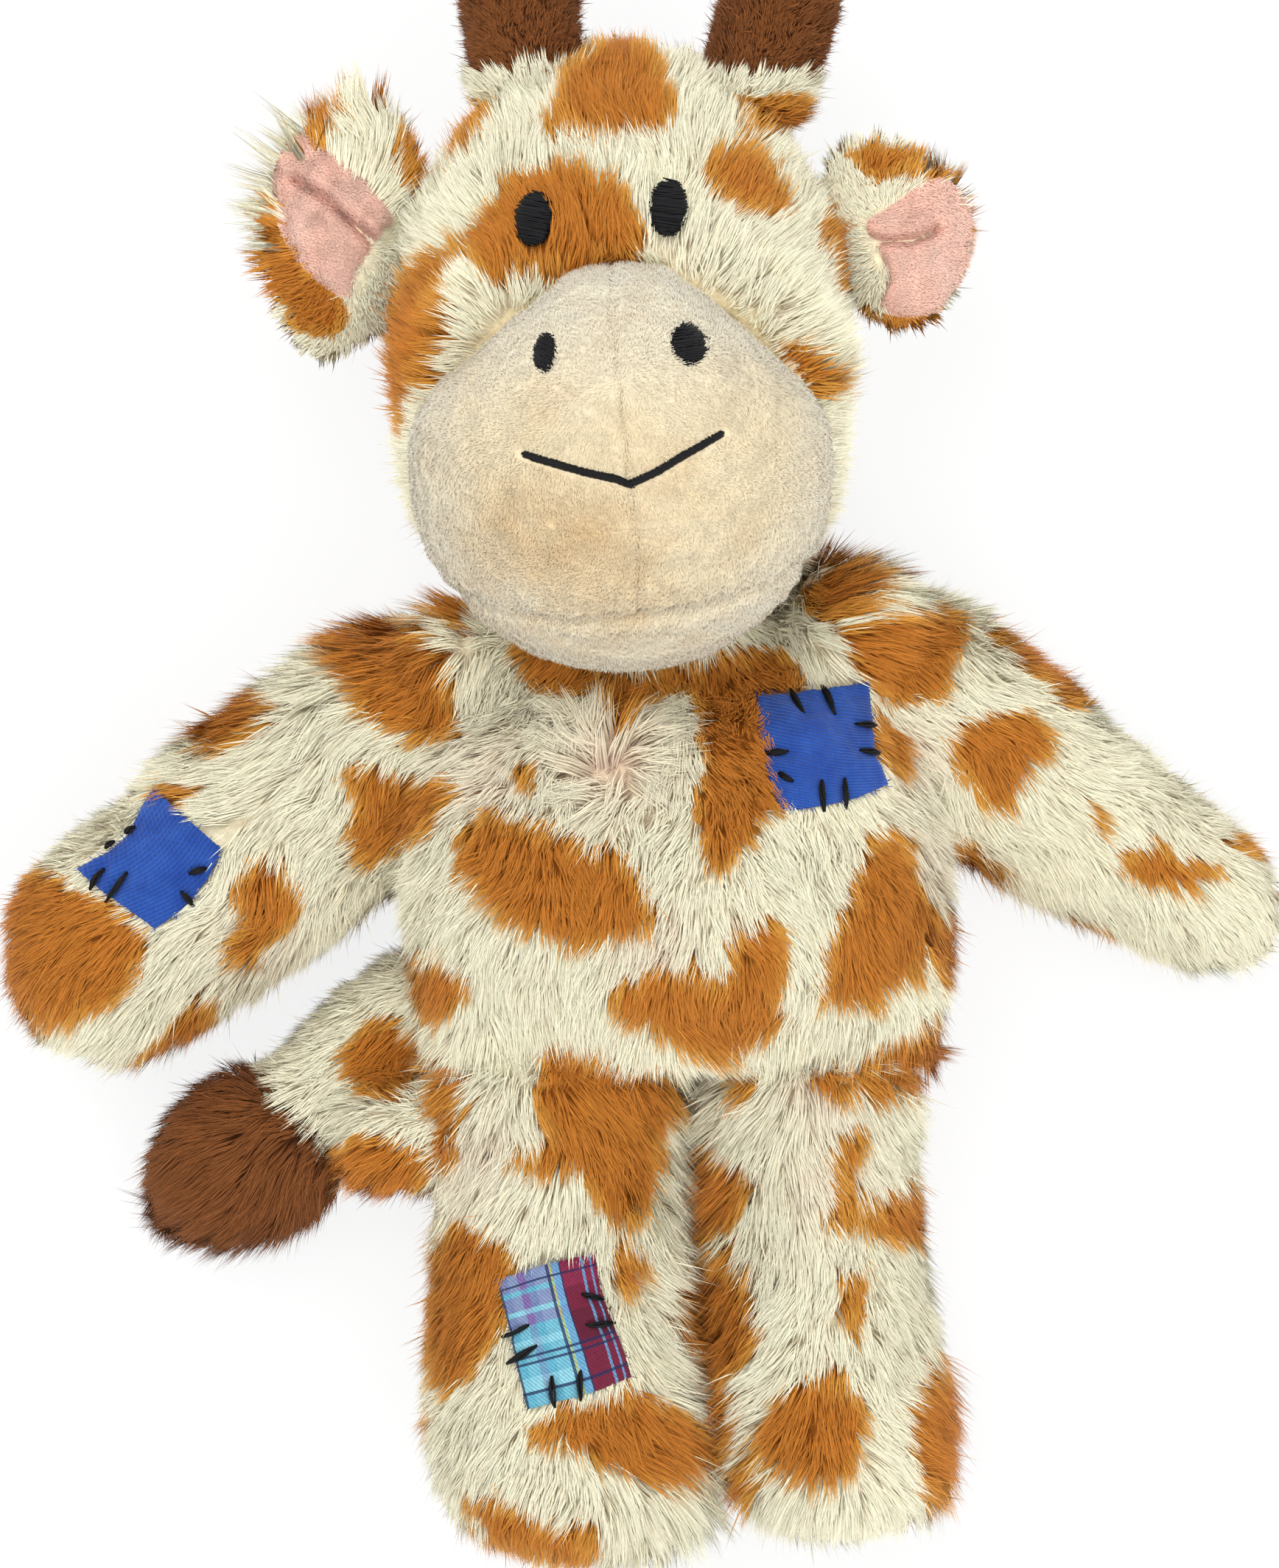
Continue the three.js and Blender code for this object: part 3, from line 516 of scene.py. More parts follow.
# Spots of the plush, outlines in display pixels of the photograph
SPOTS = {
    "head": [
        [(690, 160), (705, 120), (730, 85), (770, 55), (815, 48), (840, 80), (858, 118), (858, 160),
         (830, 178), (760, 182), (700, 178)],
        [(600, 310), (612, 270), (640, 235), (680, 210), (740, 208), (785, 228), (815, 262), (832, 300),
         (800, 335), (690, 348), (600, 350)],
        [(570, 205), (580, 165), (610, 130), (642, 108), (635, 150), (600, 190), (575, 218)],
        [(925, 140), (960, 113), (1010, 130), (1048, 168), (1060, 192), (1020, 190), (980, 172),
         (940, 155)],
        [(888, 200), (930, 183), (978, 204), (1022, 262), (1000, 280), (960, 278), (925, 262), (893, 238)],
        [(1048, 250), (1075, 265), (1112, 328), (1132, 360), (1110, 397), (1085, 400), (1055, 350),
         (1043, 300)],
        [(530, 335), (565, 310), (606, 290), (590, 330), (560, 385), (560, 430), (540, 500), (512, 575),
         (495, 520), (488, 450), (495, 385)],
        [(980, 435), (1030, 428), (1072, 470), (1078, 500), (1040, 490)],
        [(990, 112), (1040, 122), (1095, 180), (1090, 222), (1045, 205), (1005, 165)],
    ],
    "ear_right": [
        [(326, 185), (336, 112), (392, 98), (440, 112), (445, 160), (405, 176), (362, 170)],
        [(504, 171), (520, 165), (552, 220), (545, 270), (520, 262), (505, 215)],
        [(320, 235), (353, 250), (372, 310), (412, 358), (455, 385), (448, 425), (392, 428), (342, 390),
         (316, 310)],
    ],
    "ear_left": [
        [(1072, 188), (1165, 182), (1168, 218), (1130, 232), (1090, 228)],
        [(1158, 190), (1205, 180), (1262, 215), (1262, 275), (1215, 245), (1180, 225)],
        [(1096, 388), (1150, 402), (1215, 385), (1210, 440), (1140, 448), (1096, 430)],
    ],
    "torso": [
        [(528, 748), (560, 738), (590, 770), (604, 800), (580, 812), (545, 785)],
        [(400, 820), (430, 795), (520, 780), (560, 850), (592, 900), (590, 940), (560, 957), (500, 945),
         (470, 920), (405, 850)],
        [(430, 965), (500, 990), (602, 1000), (560, 1055), (530, 1080), (450, 1112), (450, 1020)],
        [(690, 835), (760, 845), (800, 860), (850, 845), (930, 830), (1000, 828), (1050, 890), (1015, 940),
         (1008, 1040), (985, 1060), (950, 1080), (925, 1140), (900, 1120), (880, 1040), (905, 990),
         (890, 920), (870, 880), (830, 900), (800, 935), (775, 900), (745, 880), (700, 870)],
        [(650, 985), (680, 965), (702, 1000), (670, 1015)],
        [(1112, 885), (1150, 890), (1172, 945), (1160, 995), (1136, 1000), (1116, 960)],
        [(1020, 762), (1060, 720), (1100, 708), (1140, 732), (1130, 770), (1080, 790), (1030, 790)],
        [(1075, 805), (1130, 788), (1200, 778), (1236, 800), (1230, 850), (1200, 900), (1150, 900),
         (1100, 870)],
        [(575, 1062), (610, 1045), (650, 1040), (770, 1080), (815, 1115), (838, 1150), (820, 1197),
         (760, 1208), (700, 1203), (640, 1175), (598, 1140)],
        [(1100, 1100), (1125, 1085), (1160, 1080), (1195, 1170), (1170, 1240), (1130, 1280), (1070, 1288),
         (1030, 1270), (1045, 1215), (1070, 1160)],
        [(772, 1270), (810, 1245), (870, 1232), (920, 1250), (965, 1300), (950, 1345), (900, 1355),
         (800, 1310)],
        [(945, 1180), (985, 1170), (1010, 1200), (1000, 1250), (990, 1320), (960, 1330), (930, 1290),
         (910, 1250), (940, 1210)],
        [(518, 1215), (560, 1228), (603, 1245), (608, 1275), (575, 1305), (540, 1300)],
        [(1190, 1150), (1222, 1170), (1230, 1250), (1200, 1270), (1185, 1230)],
        [(1090, 1165), (1100, 1080), (1140, 1060), (1168, 1075)],
        [(690, 1322), (780, 1345), (872, 1378), (868, 1400), (690, 1400)],
        [(1187, 1161), (1231, 1165), (1235, 1245), (1192, 1255)],
        [(1240, 1270), (1187, 1308), (1124, 1339), (1039, 1371), (1024, 1400), (1240, 1400)],
        [(645, 813), (692, 806), (766, 850), (755, 887), (703, 897), (661, 866)],
    ],
    "arm_right": [
        [(232, 935), (262, 890), (300, 872), (345, 882), (345, 920), (320, 955), (270, 968), (240, 955)],
        [(200, 1002), (262, 1002), (262, 1025), (215, 1040), (195, 1030)],
        [(0, 1120), (55, 1110), (90, 1125), (150, 1160), (195, 1190), (180, 1235), (160, 1275),
         (110, 1300), (60, 1312), (0, 1275), (-40, 1200)],
        [(288, 1120), (320, 1100), (345, 1100), (392, 1150), (360, 1190), (340, 1205), (322, 1240),
         (300, 1240), (290, 1200), (305, 1160)],
        [(175, 1335), (215, 1295), (262, 1268), (292, 1290), (240, 1345), (170, 1368)],
    ],
    "arm_left": [
        [(1200, 930), (1250, 912), (1315, 905), (1345, 925), (1340, 960), (1310, 1012), (1270, 1035),
         (1240, 1010), (1215, 970)],
        [(1258, 798), (1310, 815), (1372, 850), (1402, 915), (1360, 905), (1300, 862)],
        [(1385, 1018), (1420, 1032), (1422, 1062), (1395, 1058)],
        [(1418, 1100), (1450, 1078), (1510, 1088), (1568, 1108), (1545, 1130), (1480, 1142), (1440, 1130)],
        [(1558, 1060), (1600, 1068), (1640, 1108), (1600, 1105)],
        [(1195, 1060), (1240, 1072), (1295, 1100), (1290, 1122), (1240, 1110)],
        [(1285, 1145), (1340, 1150), (1400, 1170), (1445, 1205), (1380, 1195), (1310, 1170)],
    ],
    "leg_right": [
        [(678, 1345), (700, 1322), (790, 1328), (845, 1350), (872, 1400), (835, 1450), (842, 1500),
         (815, 1555), (782, 1582), (765, 1545), (750, 1512), (690, 1500), (640, 1480), (660, 1470),
         (700, 1465), (685, 1400)],
        [(552, 1600), (572, 1550), (620, 1560), (655, 1590), (668, 1635), (640, 1690), (612, 1755),
         (580, 1790), (556, 1770), (545, 1690)],
        [(765, 1600), (800, 1585), (830, 1610), (820, 1650), (780, 1650)],
        [(660, 1835), (690, 1800), (750, 1790), (800, 1778), (860, 1790), (902, 1830), (895, 1875),
         (850, 1900), (790, 1890), (740, 1860)],
        [(580, 1900), (640, 1905), (700, 1940), (775, 1950), (770, 1985), (700, 1990), (620, 1970)],
        [(858, 1620), (885, 1630), (905, 1680), (905, 1760), (882, 1770), (865, 1700)],
        [(548, 1310), (572, 1330), (600, 1390), (590, 1480), (560, 1500), (545, 1420)],
        [(530, 1770), (550, 1780), (552, 1840), (535, 1850)],
    ],
    "leg_left": [
        [(888, 1475), (915, 1485), (962, 1520), (940, 1555), (912, 1572), (893, 1530)],
        [(885, 1600), (930, 1598), (970, 1640), (962, 1690), (930, 1722), (905, 1700)],
        [(1062, 1430), (1095, 1428), (1108, 1450), (1090, 1510), (1068, 1590), (1050, 1560), (1070, 1490)],
        [(1078, 1560), (1130, 1525), (1180, 1505), (1190, 1590), (1150, 1590), (1110, 1580)],
        [(1068, 1640), (1090, 1625), (1112, 1635), (1105, 1690), (1088, 1725), (1070, 1690)],
        [(955, 1812), (1000, 1775), (1062, 1748), (1095, 1770), (1107, 1810), (1090, 1880), (1060, 1912),
         (1010, 1900), (968, 1860)],
        [(1225, 1695), (1185, 1740), (1150, 1805), (1160, 1860), (1180, 1890), (1215, 1850), (1230, 1760)],
        [(905, 1870), (940, 1868), (965, 1905), (940, 1930), (912, 1910)],
        [(1015, 1395), (1060, 1368), (1130, 1375), (1200, 1340), (1190, 1375), (1120, 1405), (1050, 1412)],
        [(920, 1385), (970, 1360), (965, 1410), (930, 1415)],
        [(1024, 1370), (1240, 1360), (1224, 1385), (1166, 1400), (1082, 1412)],
        [(872, 1450), (930, 1470), (966, 1512), (945, 1568), (900, 1590), (872, 1590)],
        [(880, 1585), (937, 1602), (974, 1658), (965, 1742), (932, 1795), (955, 1826), (921, 1870),
         (890, 1830), (880, 1700)],
        [(905, 1850), (974, 1885), (968, 1935), (921, 1915)],
        [(1189, 1715), (1240, 1712), (1240, 1810), (1215, 1900), (1174, 1935), (1162, 1889), (1184, 1805)],
    ],
    "tail": [
        [(425, 1355), (450, 1320), (490, 1298), (548, 1325), (552, 1370), (500, 1408), (445, 1400)],
        [(395, 1490), (430, 1460), (500, 1448), (545, 1470), (540, 1530), (470, 1542), (410, 1520)],
    ],
}
SPOTS["arm_right"] += SPOTS["torso"][1:3]
SPOTS["arm_left"] += SPOTS["torso"][7:8]
SIDE_OF_BACK = 27.0      # spacing of the spots on the back, mm


SPOT_RINGS = {
    region: [rounded(outline) * DISPLAY_SCALE for outline in rings] for region, rings in SPOTS.items()
}
for region in ("horn_right", "horn_left"):
    SPOT_RINGS[region] = SPOT_RINGS["head"]
PARTINGS = [  # where the pile parts, painted with a pinkish shade at its roots: photograph pixels and radius
    (825, 1020, 85), (655, 1065, 60), (1240, 1040, 50), (1130, 1610, 60),
    (350, 1290, 60), (640, 1580, 60), (1120, 1500, 50), (880, 1300, 55), (1280, 1180, 60),
]


def spotted(points, front, region):
    """True where the plush is caramel. Points in mm; front says which panel each is on."""
    wobble = np.column_stack([waves(points, 9, seed) for seed in (11, 12, 13)]) * 0.7
    moved = points + wobble
    mask = np.zeros(len(points), bool)
    where = picture(moved)
    for ring in SPOT_RINGS.get(region, []):
        mask |= inside(ring, where)
    rng = np.random.default_rng(5)
    span = np.arange(-7, 8)
    centres = [(i + (j % 2) / 2, j * 0.87) for i in span for j in span]
    centres = np.array(centres) * SIDE_OF_BACK + rng.uniform(-4, 4, (len(centres), 2))
    radii = rng.uniform(8.0, 12.5, len(centres))
    behind = np.flatnonzero(~front)
    drift = np.column_stack([waves(points[behind], 34, seed) for seed in (21, 22)])
    plan = moved[behind, :2] + drift * 3.0
    away = np.full(len(behind), 1e9)
    for centre, radius in zip(centres, radii):
        away = np.minimum(away, np.linalg.norm(plan - centre, axis=1) - radius)
    mask[behind] = away < 0
    return mask


def spot_share(points, front, region):
    """How deep in a caramel spot each point is, from 0 outside to 1 well inside."""
    share = spotted(points, front, region) * 0.4
    for dx, dy in ((2.6, 0), (-2.6, 0), (0, 2.6), (0, -2.6)):
        share += spotted(points + (dx, dy, 0), front, region) * 0.15
    return share


# Materials
def add(tree, kind, inputs=(), **settings):
    """A new shader node, its settings, and what each of its inputs holds or is linked to."""
    node = tree.nodes.new("ShaderNode" + kind)
    for name, value in settings.items():
        setattr(node, name, value)
    for name, value in dict(inputs).items():
        if isinstance(value, bpy.types.NodeSocket):
            tree.links.new(value, node.inputs[name])
        else:
            node.inputs[name].default_value = value
    return node


def node_material(name, roughness=0.8, sheen=0.0, specular=0.3):
    material = bpy.data.materials.new(name)
    material.use_nodes = True
    shader = material.node_tree.nodes["Principled BSDF"]
    shader.inputs["Roughness"].default_value = roughness
    shader.inputs["Specular IOR Level"].default_value = specular
    shader.inputs["Sheen Weight"].default_value = sheen
    return material, material.node_tree, shader


def noise_of(tree, scale, detail=2.0):
    place = add(tree, "TexCoord").outputs["Object"]
    return add(tree, "TexNoise", {"Scale": scale, "Detail": detail, "Vector": place}).outputs["Fac"]


def ranged(tree, value, low, high, from_low=0.3, from_high=0.7):
    limits = {"From Min": from_low, "From Max": from_high, "To Min": low, "To Max": high}
    return add(tree, "MapRange", {"Value": value, **limits}).outputs["Result"]


def mixed(tree, factor, a, b, blend="MIX"):
    a, b = (v if isinstance(v, bpy.types.NodeSocket) else (*v, 1.0) for v in (a, b))
    mix = add(tree, "Mix", {"Factor": factor, "A": a, "B": b}, data_type="RGBA", blend_type=blend)
    return mix.outputs["Result"]


def vector(tree, operation, *inputs, scale=None):
    """A vector node's first result."""
    held = dict(enumerate(inputs))
    if scale is not None:
        held["Scale"] = scale
    return add(tree, "VectorMath", held, operation=operation).outputs["Vector"]


def bumped(tree, shader, height, distance):
    """Bump of some mm from a height of 0 to 1."""
    bump = add(tree, "Bump", {"Strength": 0.6, "Distance": distance * MM, "Height": height})
    tree.links.new(bump.outputs["Normal"], shader.inputs["Normal"])


def lit_along(tree, shader):
    """Light a pile by the normals stored in its mesh, which follow the cloth below.

    Both sides of a fibre are lit by them. One that lies turned away from the view is lit by its own face."""
    face = add(tree, "NewGeometry").outputs
    side = ranged(tree, face["Backfacing"], 1.0, -1.0, 0.0, 1.0)
    turned = vector(tree, "SCALE", face["Normal"], scale=side)
    agree = add(tree, "VectorMath", {0: turned, 1: face["True Normal"]}, operation="DOT_PRODUCT")
    share = ranged(tree, agree.outputs["Value"], 2.0, 0.0, -0.6, -0.1)
    own = vector(tree, "SCALE", face["True Normal"], scale=share)
    level = vector(tree, "NORMALIZE", vector(tree, "ADD", turned, own))
    tree.links.new(level, shader.inputs["Normal"])


def tint_material(name, roughness=0.85, sheen=0.15, grain=1500.0, amount=0.12, bump=0.0, lying=False):
    """A pile whose colour is painted on the mesh, with a fine change of value from fibre to fibre."""
    material, tree, shader = node_material(name, roughness, sheen, 0.15)
    if lying:
        lit_along(tree, shader)
    paint = add(tree, "VertexColor", layer_name="Tint")
    noise = noise_of(tree, grain)
    value = ranged(tree, noise, 1 - amount, 1 + amount / 2)
    colour = mixed(tree, 1.0, paint.outputs["Color"], value, "MULTIPLY")
    tree.links.new(colour, shader.inputs["Base Color"])
    if bump:
        bumped(tree, shader, noise, bump)
    return material


def paint_mesh(mesh, colours, lie=None):
    """Paint the vertices, and give a pile the normals that its fibres are lit by."""
    layer = mesh.color_attributes.new("Tint", "FLOAT_COLOR", "POINT")
    rgba = np.ones((len(mesh.vertices), 4), np.float32)
    rgba[:, :3] = np.clip(colours, 0, 1)
    layer.data.foreach_set("color", rgba.ravel())
    if lie is not None:
        mesh.normals_split_custom_set_from_vertices(lie.tolist())


def speckled_material(name, finish, grain, dark, light, bump):
    """A plain stuff with small changes of value. finish: roughness, sheen, specular; grain: scale, detail."""
    material, tree, shader = node_material(name, *finish)
    noise = noise_of(tree, *grain)
    colour = mixed(tree, ranged(tree, noise, 0.0, 1.0), lin(*dark), lin(*light))
    tree.links.new(colour, shader.inputs["Base Color"])
    bumped(tree, shader, noise, bump)
    return material


def ramp_of(tree, value, stops):
    """Colour steps: stops are pairs of a place from 0 to 1 and a linear colour."""
    ramp = add(tree, "ValToRGB", {"Fac": value})
    ramp.color_ramp.interpolation = "CONSTANT"
    elements = ramp.color_ramp.elements
    while len(elements) > 1:
        elements.remove(elements[-1])
    elements[0].position, elements[0].color = stops[0][0], (*stops[0][1], 1.0)
    for place, colour in stops[1:]:
        elements.new(place).color = (*colour, 1.0)
    return ramp.outputs["Color"]


def weave(tree, shader, colour, pitch, heading):
    """Adds twill ribs, fine warp threads and lint to a cloth whose UV map is in cm."""
    place = add(tree, "UVMap", uv_map="Weave").outputs["UV"]
    turn = (0, 0, math.radians(heading))
    turned = add(tree, "Mapping", {"Rotation": turn, "Vector": place}).outputs["Vector"]
    per_cm = 2 * math.pi / 20
    ribs = {"Scale": per_cm / (pitch / 10), "Distortion": 0.5, "Detail": 1.0, "Vector": turned}
    ribs = add(tree, "TexWave", ribs, wave_type="BANDS", bands_direction="X").outputs["Fac"]
    yarns = {"Scale": per_cm / YARN_PITCH, "Distortion": 2.0, "Vector": turned}
    yarns = add(tree, "TexWave", yarns, wave_type="BANDS", bands_direction="Y").outputs["Fac"]
    lint = noise_of(tree, 1400.0, 5.0)
    for shade in (ranged(tree, ribs, 0.72, 1.12, 0.0, 1.0), ranged(tree, yarns, 0.88, 1.08, 0.0, 1.0),
                  ranged(tree, lint, 0.86, 1.12)):
        colour = mixed(tree, 1.0, colour, shade, "MULTIPLY")
    tree.links.new(colour, shader.inputs["Base Color"])
    bumped(tree, shader, yarns, 0.08)


def twill_material(name, pitch, heading):
    material, tree, shader = node_material(name, 0.8, 0.25, 0.25)
    broad = ranged(tree, noise_of(tree, 160.0, 2.0), 0.0, 1.0)
    weave(tree, shader, mixed(tree, broad, lin(20, 64, 150), lin(34, 82, 168)), pitch, heading)
    return material


def plaid_material():
    material, tree, shader = node_material("plaid_twill", 0.8, 0.2, 0.25)
    place = add(tree, "UVMap", uv_map="Share").outputs["UV"]
    split = add(tree, "SeparateXYZ", {"Vector": place})
    u, v = split.outputs["X"], split.outputs["Y"]
    aqua, pale, lavender = lin(92, 168, 192), lin(136, 196, 212), lin(122, 100, 160)
    burgundy, navy, yellow, sky = lin(112, 22, 54), lin(26, 32, 78), lin(178, 178, 80), lin(98, 152, 196)
    black, white = (0, 0, 0), (1, 1, 1)
    cool = ramp_of(tree, v, [
        (0.0, aqua), (0.12, pale), (0.22, aqua), (0.44, pale), (0.5, aqua), (0.6, lavender), (0.68, pale),
        (0.72, lavender), (0.83, aqua), (0.87, lavender),
    ])
    side = ramp_of(tree, u, [(0.0, aqua), (0.1, pale), (0.2, lavender), (0.28, aqua), (0.36, pale)])
    warm = ramp_of(tree, v, [
        (0.0, burgundy), (0.36, lin(94, 16, 46)), (0.62, burgundy), (0.8, lin(130, 34, 68)),
    ])
    zone = ramp_of(tree, u, [(0.0, black), (0.63, white)])
    colour = mixed(tree, zone, mixed(tree, 0.35, cool, side), warm)
    lines = [  # colour, across which share, places from and to
        (sky, u, [(0.56, 0.62), (0.84, 0.87), (0.93, 0.95)]),
        (yellow, u, [(0.53, 0.55)]),
        (navy, u, [(0.495, 0.525), (0.625, 0.64), (0.0, 0.02)]),
        (navy, v, [(0.095, 0.12), (0.315, 0.335), (0.365, 0.385), (0.9, 0.915)]),
    ]
    for paint, share, places in lines:
        stops = [(0.0, white if min(places)[0] == 0 else black)]
        for start, end in sorted(places):
            stops += [(start, white), (end, black)] if start > 0 else [(end, black)]
        soft = mixed(tree, 0.85, black, ramp_of(tree, share, stops))
        colour = mixed(tree, soft, colour, paint)
    weave(tree, shader, colour, PLAID_PITCH, -35)
    return material


FUR = tint_material("spotted_plush", lying=True)
SKIN = tint_material("plush_backing", 0.95, 0.3, 900.0, 0.12, 0.3)
VELOUR = tint_material("velour", 0.9, 0.35, 1100.0, 0.10, 0.25)
VELOUR_PILE = tint_material("velour_pile", 0.9, 0.35, 1100.0, 0.10, lying=True)
THREAD = speckled_material("black_thread", (0.6, 0.0, 0.22), (2600.0, 3.0), (7, 7, 9), (19, 19, 23), 0.06)
FILL = speckled_material("filling", (0.95, 0.3, 0.2), (700.0, 6.0), (226, 224, 218), (250, 250, 248), 0.8)
PLASTIC = speckled_material(
    "squeaker_plastic", (0.38, 0.0, 0.5), (420.0, 3.0), (232, 232, 228), (244, 244, 240), 0.02)
BLUE_TWILL = twill_material("blue_twill", CHEST_PITCH, 112)
ARM_TWILL = twill_material("blue_twill_arm", ARM_PITCH, 12)
PLAID = plaid_material()

# Camera, light and floor
scene = bpy.context.scene
camera_data = bpy.data.cameras.new("camera")
camera_data.sensor_width = 36.0
view_half = FRAME_SIZE[1] / PIXELS_PER_MM / 2 / (CAMERA_ABOVE - MEASURE_HEIGHT)
camera_data.lens = camera_data.sensor_width / 2 / view_half
camera_data.clip_start, camera_data.clip_end = 0.01, 50.0
camera = bpy.data.objects.new("camera", camera_data)
camera.location = (PART_SHIFT[0] * MM, PART_SHIFT[1] * MM, CAMERA_ABOVE * MM)
scene.collection.objects.link(camera)
scene.camera = camera
scene.view_settings.view_transform = "Standard"

# Place and size in m, and watts
LAMPS = {"key": ((-0.7, 0.8, 2.0), 1.5, 20.0), "fill": ((1.1, -0.9, 1.8), 1.6, 17.0)}
for name, (location, size, watts) in LAMPS.items():
    data = bpy.data.lights.new(name, "AREA")
    data.shape, data.size, data.energy = "SQUARE", size, watts
    light = bpy.data.objects.new(name, data)
    light.location = location
    light.rotation_euler = (-Vector(location)).to_track_quat("-Z", "Y").to_euler()
    scene.collection.objects.link(light)

WORLD_LEVEL = 0.92       # the sky on the object; what the camera and mirrors see of it is white
world = bpy.data.worlds.new("studio")
world.use_nodes = True
scene.world = world
rays = add(world.node_tree, "LightPath").outputs
seen = add(world.node_tree, "Math", {0: rays["Is Camera Ray"], 1: rays["Is Glossy Ray"]}, operation="MAXIMUM")
background = world.node_tree.nodes["Background"]
background.inputs["Color"].default_value = (1.0, 1.0, 1.0, 1.0)
brightness = ranged(world.node_tree, seen.outputs["Value"], WORLD_LEVEL, 1.0, 0.0, 1.0)
world.node_tree.links.new(brightness, background.inputs["Strength"])

FLOOR_HALF, FLOOR_DROP = 4000, -0.4   # mm
FLOOR_GLOW = 0.85        # how much of the floor that the camera sees is white by itself
floor_material, floor_tree, floor_shader = node_material("floor", 0.9, 0.0, 0.0)
floor_shader.inputs["Base Color"].default_value = (0.93, 0.93, 0.93, 1.0)
glow = add(floor_tree, "Emission", {"Color": (1.0, 1.0, 1.0, 1.0)})
camera_ray = add(floor_tree, "LightPath").outputs["Is Camera Ray"]
glow_share = add(floor_tree, "Math", {0: camera_ray, 1: FLOOR_GLOW}, operation="MULTIPLY").outputs["Value"]
floor_mix = add(floor_tree, "MixShader", {"Fac": glow_share, 1: floor_shader.outputs["BSDF"],
                                          2: glow.outputs["Emission"]})
floor_tree.links.new(floor_mix.outputs["Shader"], floor_tree.nodes["Material Output"].inputs["Surface"])
corners = np.array([(-1, -1), (1, -1), (1, 1), (-1, 1)], float) * FLOOR_HALF
corners = np.column_stack([corners, np.full(4, FLOOR_DROP)])
floor = new_object("floor", mesh_from("floor", corners, np.array([[0, 1, 2, 3]])), floor_material)

# The surfaces under the fur
BODY_NODES = {
    "torso": ["torso_front_panel", "torso_back_panel", "torso_filling_front", "torso_filling_back"],
    "head": ["head_front_panel", "head_back_panel", "head_filling"],
    "arm_right": ["arm_right_skin", "arm_right_filling"],
    "arm_left": ["arm_left_skin", "arm_left_filling"],
    "leg_right": ["leg_right_skin", "leg_right_filling"],
    "leg_left": ["leg_left_skin", "leg_left_filling"],
    "tail": ["tail_skin", "tail_filling"],
    "tuft": ["tail_tuft"],
    "ear_right": ["ear_right_outer", "ear_right_lining"],
    "ear_left": ["ear_left_outer", "ear_left_lining"],
    "horn_right": ["horn_right_cover", "horn_right_filling"],
    "horn_left": ["horn_left_cover", "horn_left_filling"],
}
INSET = {"tuft": 3.4, "ear_right": 2.0, "ear_left": 2.0, "horn_right": 1.5, "horn_left": 1.5}
VOXEL = {"ear_right": 1.2, "ear_left": 1.2, "horn_right": 1.6, "horn_left": 1.6, "tuft": 1.8, "tail": 1.8}
PUFFED = ("torso", "head", "arm_right", "arm_left", "leg_right", "leg_left", "tail")
CLOTH_VOXEL, CLOTH_MOST = 5.0, 1.6  # size of the simulated cells, and how far they may move, mm
INSET_STEPS = 4
OVER_FLOOR = 0.4
FOLDS["head"] = cheek_folds()


def whole(left_out):
    """The shape of the object without one leg, so that the legs' inner sides count as seen."""
    names = [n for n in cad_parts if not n.startswith(left_out)]
    co, tris = outer_surface(names, 2.0, grow=0.9, rounds=8, folds=sum(FOLDS.values(), []))
    return {"tree": tree_of(co, tris), "normals": vertex_normals(co, tris), "tris": tris, "co": co}


WHOLE = {"right": whole("leg_left"), "left": whole("leg_right")}


def nearest(shape, points):
    """Distance to the nearest point of a shape, and its smooth normal there."""
    away, normals = np.empty(len(points)), np.empty((len(points), 3))
    tree, tris, vn = shape["tree"], shape["tris"], shape["normals"]
    for i, p in enumerate(points.tolist()):
        _, _, face, distance = tree.find_nearest(p)
        away[i] = distance
        normals[i] = vn[tris[face]].mean(axis=0)
    return away, unit(normals)


def backing(region):
    """The surface that a region's pile grows from, with how exposed and how pressed each vertex is."""
    folds = FOLDS.get(region, ())
    co, tris = outer_surface(BODY_NODES[region], VOXEL.get(region, 2.4), grow=0.2, rounds=3, folds=folds)
    shape = WHOLE["left" if region == "leg_left" else "right"]
    away, normals = nearest(shape, co)
    exposed = 1 - np.clip((away - 1.6) / 3.0, 0, 1)
    exposed = smooth(exposed, tris, 4)
    held = pressed(co, region) * (normals[:, 2] > 0.05)
    held = smooth(held, tris, 2)
    inset = INSET.get(region, FUR_INSET)
    depth = (inset * (1 - held) + min(PRESSED_INSET, inset) * held) * exposed
    if region in PUFFED:
        co = puffed(region, co, tris, CLOTH_VOXEL, CLOTH_MOST)
    for _ in range(INSET_STEPS):
        co = co - (depth / INSET_STEPS)[:, None] * smooth(vertex_normals(co, tris), tris, 3)
        co = smooth(co, tris, 1, 0.4)
    co[:, 2] = np.maximum(co[:, 2], OVER_FLOOR)
    if region in SAG:
        start, length, (right, up) = SAG[region]
        share = np.clip((co[:, 0] - PART_SHIFT[0] - start) / length, 0, 1)
        share = share * share * (3 - 2 * share)
        co = co + share[:, None] * (right, up, 0.0)
    return {"co": co, "tris": tris, "exposed": exposed, "shape": shape, "under": region == "head"}


# The pixel row below which the head's plush covers a horn
HORN_ROOTS = {"horn_right": 106, "horn_left": 112}


def is_front(normals, region):
    return normals[:, 2] > (-0.8 if region.startswith("ear") else -0.15)


def is_brown(region, points):
    """True on the tuft and the horns, but not where the head's plush laps over a horn's root."""
    if not region.startswith(("tuft", "horn")):
        return np.zeros(len(points), bool)
    return picture(points)[:, 1] < HORN_ROOTS.get(region, 1e9)


def over_muzzle(points):
    """From 0 to 1, how much the head's pile leans over the muzzle."""
    return upper_cheek(points) * np.clip(1 - (from_muzzle(points)[0] - MUZZLE_RADIUS) / 6, 0, 1)


